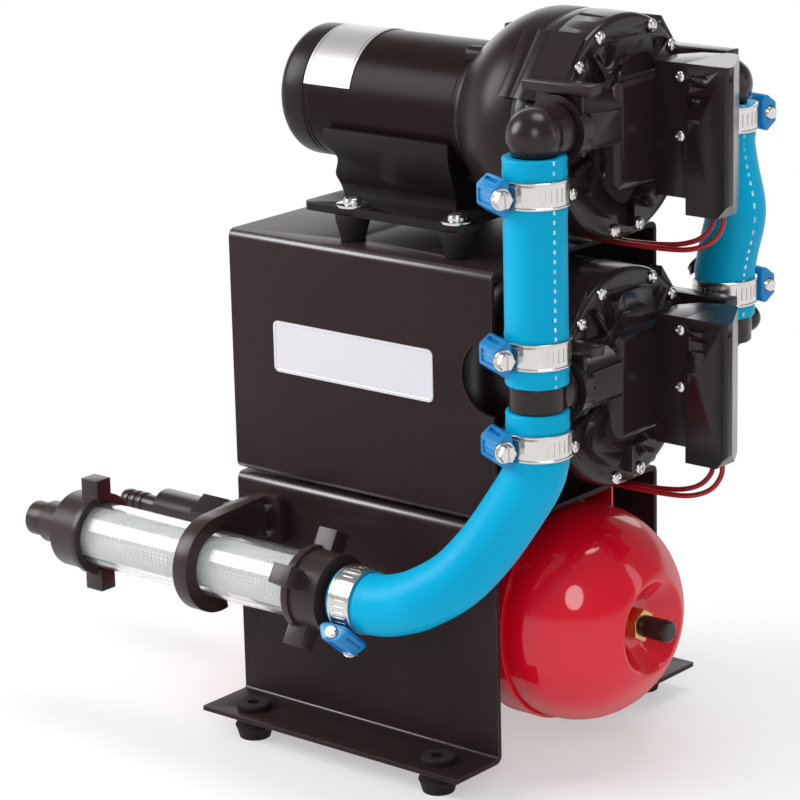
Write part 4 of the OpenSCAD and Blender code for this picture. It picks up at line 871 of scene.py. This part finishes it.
def ratingPlate():
    low, high, corner = plate["low"], plate["high"], plate["corner"]
    corners = [(high[0] - corner, high[1] - corner, 0), (low[0] + corner, high[1] - corner, 90),
               (low[0] + corner, low[1] + corner, 180), (high[0] - corner, low[1] + corner, 270)]
    outline = [(x + dx, z + dz) for x, z, start in corners
               for dx, dz in arcPoints(corner, start, start + 90, 6)]
    bm = bmesh.new()
    prism(bm, outline, plate["thickness"], spot(0, plate["y"], 0) @ turn(90, "X"))
    front = [f for f in bm.faces if f.calc_center_median().y < (plate["y"] - plate["thickness"] + 0.01) * mm]
    for width, rise in plate["frames"]:
        bmesh.ops.inset_region(bm, faces=front, thickness=width * mm, depth=rise * mm)
    return bm


def motorLabels():
    bm = bmesh.new()
    for z in axes:
        lathe(bm, label["outline"], 60, spot(0, 0, z) @ turn(label["turn"], "X"), degrees=label["degrees"])
        bmesh.ops.holes_fill(bm, edges=[e for e in bm.edges if e.is_boundary])
    return bm


instead("rating_plate", ratingPlate(), "plateFilm", 25)
instead("motor_labels", motorLabels(), "labelFoil", 30)
print("labels ready")


# Tank and strainer

tank = {
    "z": 74, "radius": 55, "end": 85, "dome": 50, "rim": 26, "steps": 24,
    "farRim": ((3, 0), (0.8, 0.25)), "seam": ((0, -2.6), (0.5, -1.6), (0.7, 0), (0.5, 1.6), (0, 2.6)),
    "bead": ((0.6, 0.1), (1.6, 0.35), (2.7, -0.1), (3.8, -1.2)),
    "dish": ((13.8, 9.6), (12.4, 10.6), (10.8, 11), (0, 11)),
}
tube = {"wall": 2, "edge": 0.3, "reach": 12}
sieve = {"radius": 12.9, "wire": 0.4, "sleeve": (12.3, 12.72), "rings": 60, "sides": 44,
         "inletReach": 11, "outletReach": 13}
strainerPlace = spot(0, strainer["y"], strainer["z"])


def tankShell():
    # Turned outline: far dome, welded seam, near dome, rolled bead and the dish for the valve
    bm = bmesh.new()
    r, end, dome, rim, steps = (tank[key] for key in ("radius", "end", "dome", "rim", "steps"))
    flat = end + dome * math.sqrt(1 - (rim / r) ** 2)
    slope = math.degrees(math.asin(rim / r))
    left = [(0, -flat)] + [(rim - inward, -flat + rise) for inward, rise in tank["farRim"]]
    sides = [math.radians(slope + (90 - slope) * i / steps) for i in range(1, steps + 1)]
    left += [(r * math.sin(a), -end - dome * math.cos(a)) for a in sides]
    seam = [(r + rise, x) for rise, x in tank["seam"]]
    sides = [math.radians((90 - slope) * i / steps) for i in range(steps)]
    right = [(r * math.cos(a), end + dome * math.sin(a)) for a in sides]
    dish = [(rim - inward, flat + rise) for inward, rise in tank["bead"]]
    dish += [(radius, flat - depth) for radius, depth in tank["dish"]]
    lathe(bm, left + seam + right + dish, 128, spot(0, 0, tank["z"]), closed=False)
    return bm


def strainerScreen():
    # A wire lattice over a thin sleeve
    bm = bmesh.new()
    x0, x1 = strainer["inlet"] - sieve["inletReach"], strainer["outlet"] + sieve["outletReach"]
    count, (inner, outer) = sieve["rings"], sieve["sleeve"]
    lathe(bm, [(sieve["radius"], x0 + (x1 - x0) * i / count) for i in range(count + 1)], sieve["sides"],
          closed=False)
    lattice = modified(bm, "WIREFRAME", {"thickness": sieve["wire"] * mm, "use_even_offset": False,
                                         "use_boundary": True})
    lathe(lattice, [(inner, x0), (outer, x0), (outer, x1), (inner, x1)], sieve["sides"])
    bmesh.ops.transform(lattice, matrix=strainerPlace, verts=lattice.verts)
    return lattice


def strainerTube():
    bm = bmesh.new()
    x0, x1, r = strainer["inlet"] - tube["reach"], strainer["outlet"] + tube["reach"], strainer["tube"]
    wall, edge = tube["wall"], tube["edge"]
    lathe(bm, [(r - wall, x0), (r - edge, x0), (r, x0 + edge),
               (r, x1 - edge), (r - edge, x1), (r - wall, x1)], 96, strainerPlace)
    return bm


instead("tank_shell", tankShell(), "tankRed", 50)
instead("strainer_screen", strainerScreen(), "sieveWhite", 30)
instead("strainer_tube", strainerTube(), "clearPlastic", 30)
for nodeName in ("front_elbow", "rear_elbow", "front_tee", "rear_tee"):
    castSmooth(nodeName, "pumpPlastic")
print("tank, strainer and fittings ready")


# Switch covers: bevels round the top and the end, a screw hole in the end, three short slots in the side

cover = {"side": 8, "end": 167, "top": 32, "topBevel": 1.7, "endBevel": 0.9, "edge": 0.5, "endHeight": 20,
         "hole": (10.6, 26.5), "holeRadius": 1.5, "holeDepth": 3.5, "sliver": 0.02,
         "slots": (26.5, 21.5, 16.5), "slotFrom": 145.5, "slotTo": 155.0, "slotHeight": 1.4, "slotDepth": 1.3}


def switchCovers():
    bm = cadMesh("switch_covers")
    near = 0.1
    tops = [z + cover["top"] for z in axes]

    def onTop(a, b):
        return abs(a.z - b.z) < near and any(abs(a.z - top) < near for top in tops) and abs(a.y - b.y) < near

    def onEnd(a, b):
        return min(a.x, b.x) > cover["end"] - 1 and abs(a.z - b.z) > cover["endHeight"]

    bevelWhere(bm, onTop, cover["topBevel"], 2)
    bevelWhere(bm, onEnd, cover["endBevel"], 3)
    bevelEdges(bm, sharpEdges(bm), cover["edge"], 2)
    bores, bars = bmesh.new(), bmesh.new()
    (y, rise), radius, half = cover["hole"], cover["holeRadius"], cover["slotHeight"] / 2
    inside, outside = cover["end"] - cover["holeDepth"], cover["end"] + 1
    for z in axes:
        lathe(bores, [(0, inside), (radius, inside), (radius, outside), (0, outside)], 24,
              spot(0, y, z + rise), closed=False)
        for slotRise in cover["slots"]:
            box(bars, (cover["slotFrom"], cover["side"] - 1, z + slotRise - half),
                (cover["slotTo"], cover["side"] + cover["slotDepth"], z + slotRise + half))
    shaped = cutOut(bm, bores, bars)
    # The merge closes slivers at the bevels' ends
    bmesh.ops.remove_doubles(shaped, verts=shaped.verts, dist=cover["sliver"] * mm)
    return shaped


instead("switch_covers", switchCovers(), "pumpPlastic", 40, recalc=False)
print("switch covers ready")


# CAD pieces with rounded edges, and the inner ones

softNodes = {
    "frameCoat": {"lower_frame": 0.5, "upper_frame": 0.5},
    "footRubber": {"rubber_feet": 0.6, "rubber_mounts": 0.5},
    "castBlack": {"motor_end_bells": 0.5},
    "tankRed": {"tank_straps": 0.3},
    "basePlastic": {"upper_base": 0.7, "lower_base": 0.7},
    "pumpPlastic": {"upper_head": 0.7, "lower_head": 0.7, "upper_switch_body": 0.5, "lower_switch_body": 0.5,
                    "upper_front_clip": 0.8, "upper_rear_clip": 0.8, "lower_front_clip": 0.8,
                    "lower_rear_clip": 0.8, "tank_fitting": 0.4, "air_valve_cap": 0.3, "valve_plates": 0.3},
    "strainerPlastic": {"inlet_cap": 0.7, "outlet_cap": 0.7, "strainer_bracket": 0.7},
    "turnedBrass": {"air_valve": 0.3},
    "membrane": {"diaphragms": 0.2},
}
for finishName, widths in softNodes.items():
    for nodeName, width in widths.items():
        softened(nodeName, finishName, width)
print("outer pieces ready")

keptNodes = {
    "windings": ["upper_armature", "lower_armature"],
    "groundSteel": ["upper_cam", "lower_cam", "motor_bearings", "air_valve_pin"],
    "creamPlastic": ["upper_switch_plunger", "lower_switch_plunger", "wobble_plates"],
    "ferrite": ["motor_magnets", "motor_brushes"],
    "membrane": ["tank_bladder", "strainer_seals"],
}
for finishName, names in keptNodes.items():
    for nodeName in names:
        keepNode(nodeName, finishName)
print("inner pieces ready")


# Camera, lamps and floor

view = {"azimuth": 40, "elevation": 16, "roll": -1.4, "lens": 146.88, "distance": 1.711,
        "across": -0.027, "up": 0.1509, "lift": 0.013, "sensor": 36, "near": 0.05, "far": 30}


def placeCamera():
    azimuth, elevation, roll = (math.radians(view[k]) for k in ("azimuth", "elevation", "roll"))
    forward = Vector((-math.sin(azimuth) * math.cos(elevation), math.cos(azimuth) * math.cos(elevation),
                      -math.sin(elevation)))
    right = Vector((math.cos(azimuth), math.sin(azimuth), 0))
    above = right.cross(forward)
    tilt = Matrix.Rotation(roll, 3, -forward)
    right, above = tilt @ right, tilt @ above
    camera = newObject("photoCamera", bpy.data.cameras.new("photoCamera"))
    place = -forward * view["distance"] + right * view["across"] + above * view["up"]
    place += Vector((0, 0, view["lift"]))
    basis = Matrix((right, above, -forward)).transposed()
    camera.matrix_world = Matrix.Translation(place) @ basis.to_4x4()
    camera.data.sensor_width = view["sensor"]
    camera.data.lens = view["lens"]
    camera.data.clip_start, camera.data.clip_end = view["near"], view["far"]
    scene.camera = camera


lamps = {
    "key": {"size": (1.2, 1.4), "watts": 38, "place": (-1.5, -1.2, 1.3), "target": (0, 0, 0.2)},
    "fill": {"size": (0.8, 1.0), "watts": 12, "place": (1.3, -1.5, 1.2), "target": (0, 0, 0.15)},
    "top": {"size": (0.9, 0.9), "watts": 12, "place": (0.3, 0.2, 1.9), "target": (0, 0, 0.2)},
    "back": {"size": (2.6, 1.5), "watts": 15, "place": (-1.3, 1.7, 0.9), "target": (0, 0, 0.3)},
    "rim": {"size": (0.4, 1.4), "watts": 2.5, "place": (1.7, 1.0, 0.8), "target": (0.1, 0, 0.2)},
}


def placeLamps():
    for name, lamp in lamps.items():
        data = bpy.data.lights.new(name + "Lamp", "AREA")
        data.shape = "ELLIPSE"
        data.size, data.size_y = lamp["size"]
        data.energy = lamp["watts"]
        holder = newObject(name + "Lamp", data)
        place = Vector(lamp["place"])
        holder.location = place
        holder.rotation_euler = (Vector(lamp["target"]) - place).to_track_quat("-Z", "Y").to_euler()
        holder.visible_camera = False


def seenRays(tree):
    path = addNode(tree, "ShaderNodeLightPath").outputs
    seen = mathNode(tree, "MAXIMUM", path["Is Camera Ray"], path["Is Glossy Ray"])
    return mathNode(tree, "MAXIMUM", seen, path["Is Transmission Ray"])


paper = {"half": 6, "tones": ("fbfbfb", "f7f7f7"), "fibre": 300.0, "rough": 0.9, "gloss": 0.1,
         "fadeFrom": 0.12, "fadeTo": 0.5, "nearWhite": 0.45}
# Heights between which the surroundings fade from the horizon's strength to that overhead
room = {"low": 0.02, "high": 0.2, "horizon": 1.0, "overhead": 0.28}


def placeFloor():
    bm = bmesh.new()
    bmesh.ops.create_grid(bm, x_segments=2, y_segments=2, size=paper["half"])
    floor = newObject("floor", takeMesh(bm, "floor"))
    material, tree, shader = newMaterial("floorPaper")
    place = addNode(tree, "ShaderNodeTexCoord").outputs["Object"]
    fibre = groupNode(tree, "grain", Vector=place, Scale=paper["fibre"]).outputs["Wander"]
    light, dark = (tone(code) for code in paper["tones"])
    feed(tree, shader.inputs["Base Color"], blendColour(tree, fibre, light, dark))
    feed(tree, shader.inputs["Roughness"], paper["rough"])
    feed(tree, shader.inputs["Specular IOR Level"], paper["gloss"])
    # To the camera, gloss and glass the paper turns to plain white away from the object
    away = addNode(tree, "ShaderNodeVectorMath", {"operation": "LENGTH"}, Vector=place)
    fade = remap(tree, away.outputs["Value"], (paper["nearWhite"], 1.0), (paper["fadeFrom"], paper["fadeTo"]),
                 "SMOOTHSTEP")
    white = addNode(tree, "ShaderNodeEmission", Color=(1, 1, 1, 1), Strength=1.0)
    blend = addNode(tree, "ShaderNodeMixShader", Fac=mathNode(tree, "MULTIPLY", fade, seenRays(tree)))
    feed(tree, blend.inputs[1], shader.outputs[0])
    feed(tree, blend.inputs[2], white.outputs[0])
    feed(tree, tree.nodes["Material Output"].inputs["Surface"], blend.outputs[0])
    floor.data.materials.append(material)


def lightWorld():
    world = bpy.data.worlds.new("studio")
    scene.world = world
    world.use_nodes = True
    tree = world.node_tree
    back = tree.nodes["Background"].inputs
    back["Color"].default_value = (1, 1, 1, 1)
    # White round the horizon and dim overhead, as in a room with a pale backdrop all round
    up = axesOf(tree, addNode(tree, "ShaderNodeTexCoord").outputs["Generated"])["Z"]
    height = remap(tree, up, (room["horizon"], room["overhead"]), (room["low"], room["high"]), "SMOOTHSTEP")
    seen = mathNode(tree, "MAXIMUM", mathNode(tree, "MULTIPLY", seenRays(tree), height), room["overhead"])
    camera = addNode(tree, "ShaderNodeLightPath").outputs["Is Camera Ray"]
    feed(tree, back["Strength"], mathNode(tree, "MAXIMUM", seen, camera))


placeCamera()
placeLamps()
placeFloor()
lightWorld()
scene.view_settings.view_transform = "Standard"
print("camera, lamps and floor ready")
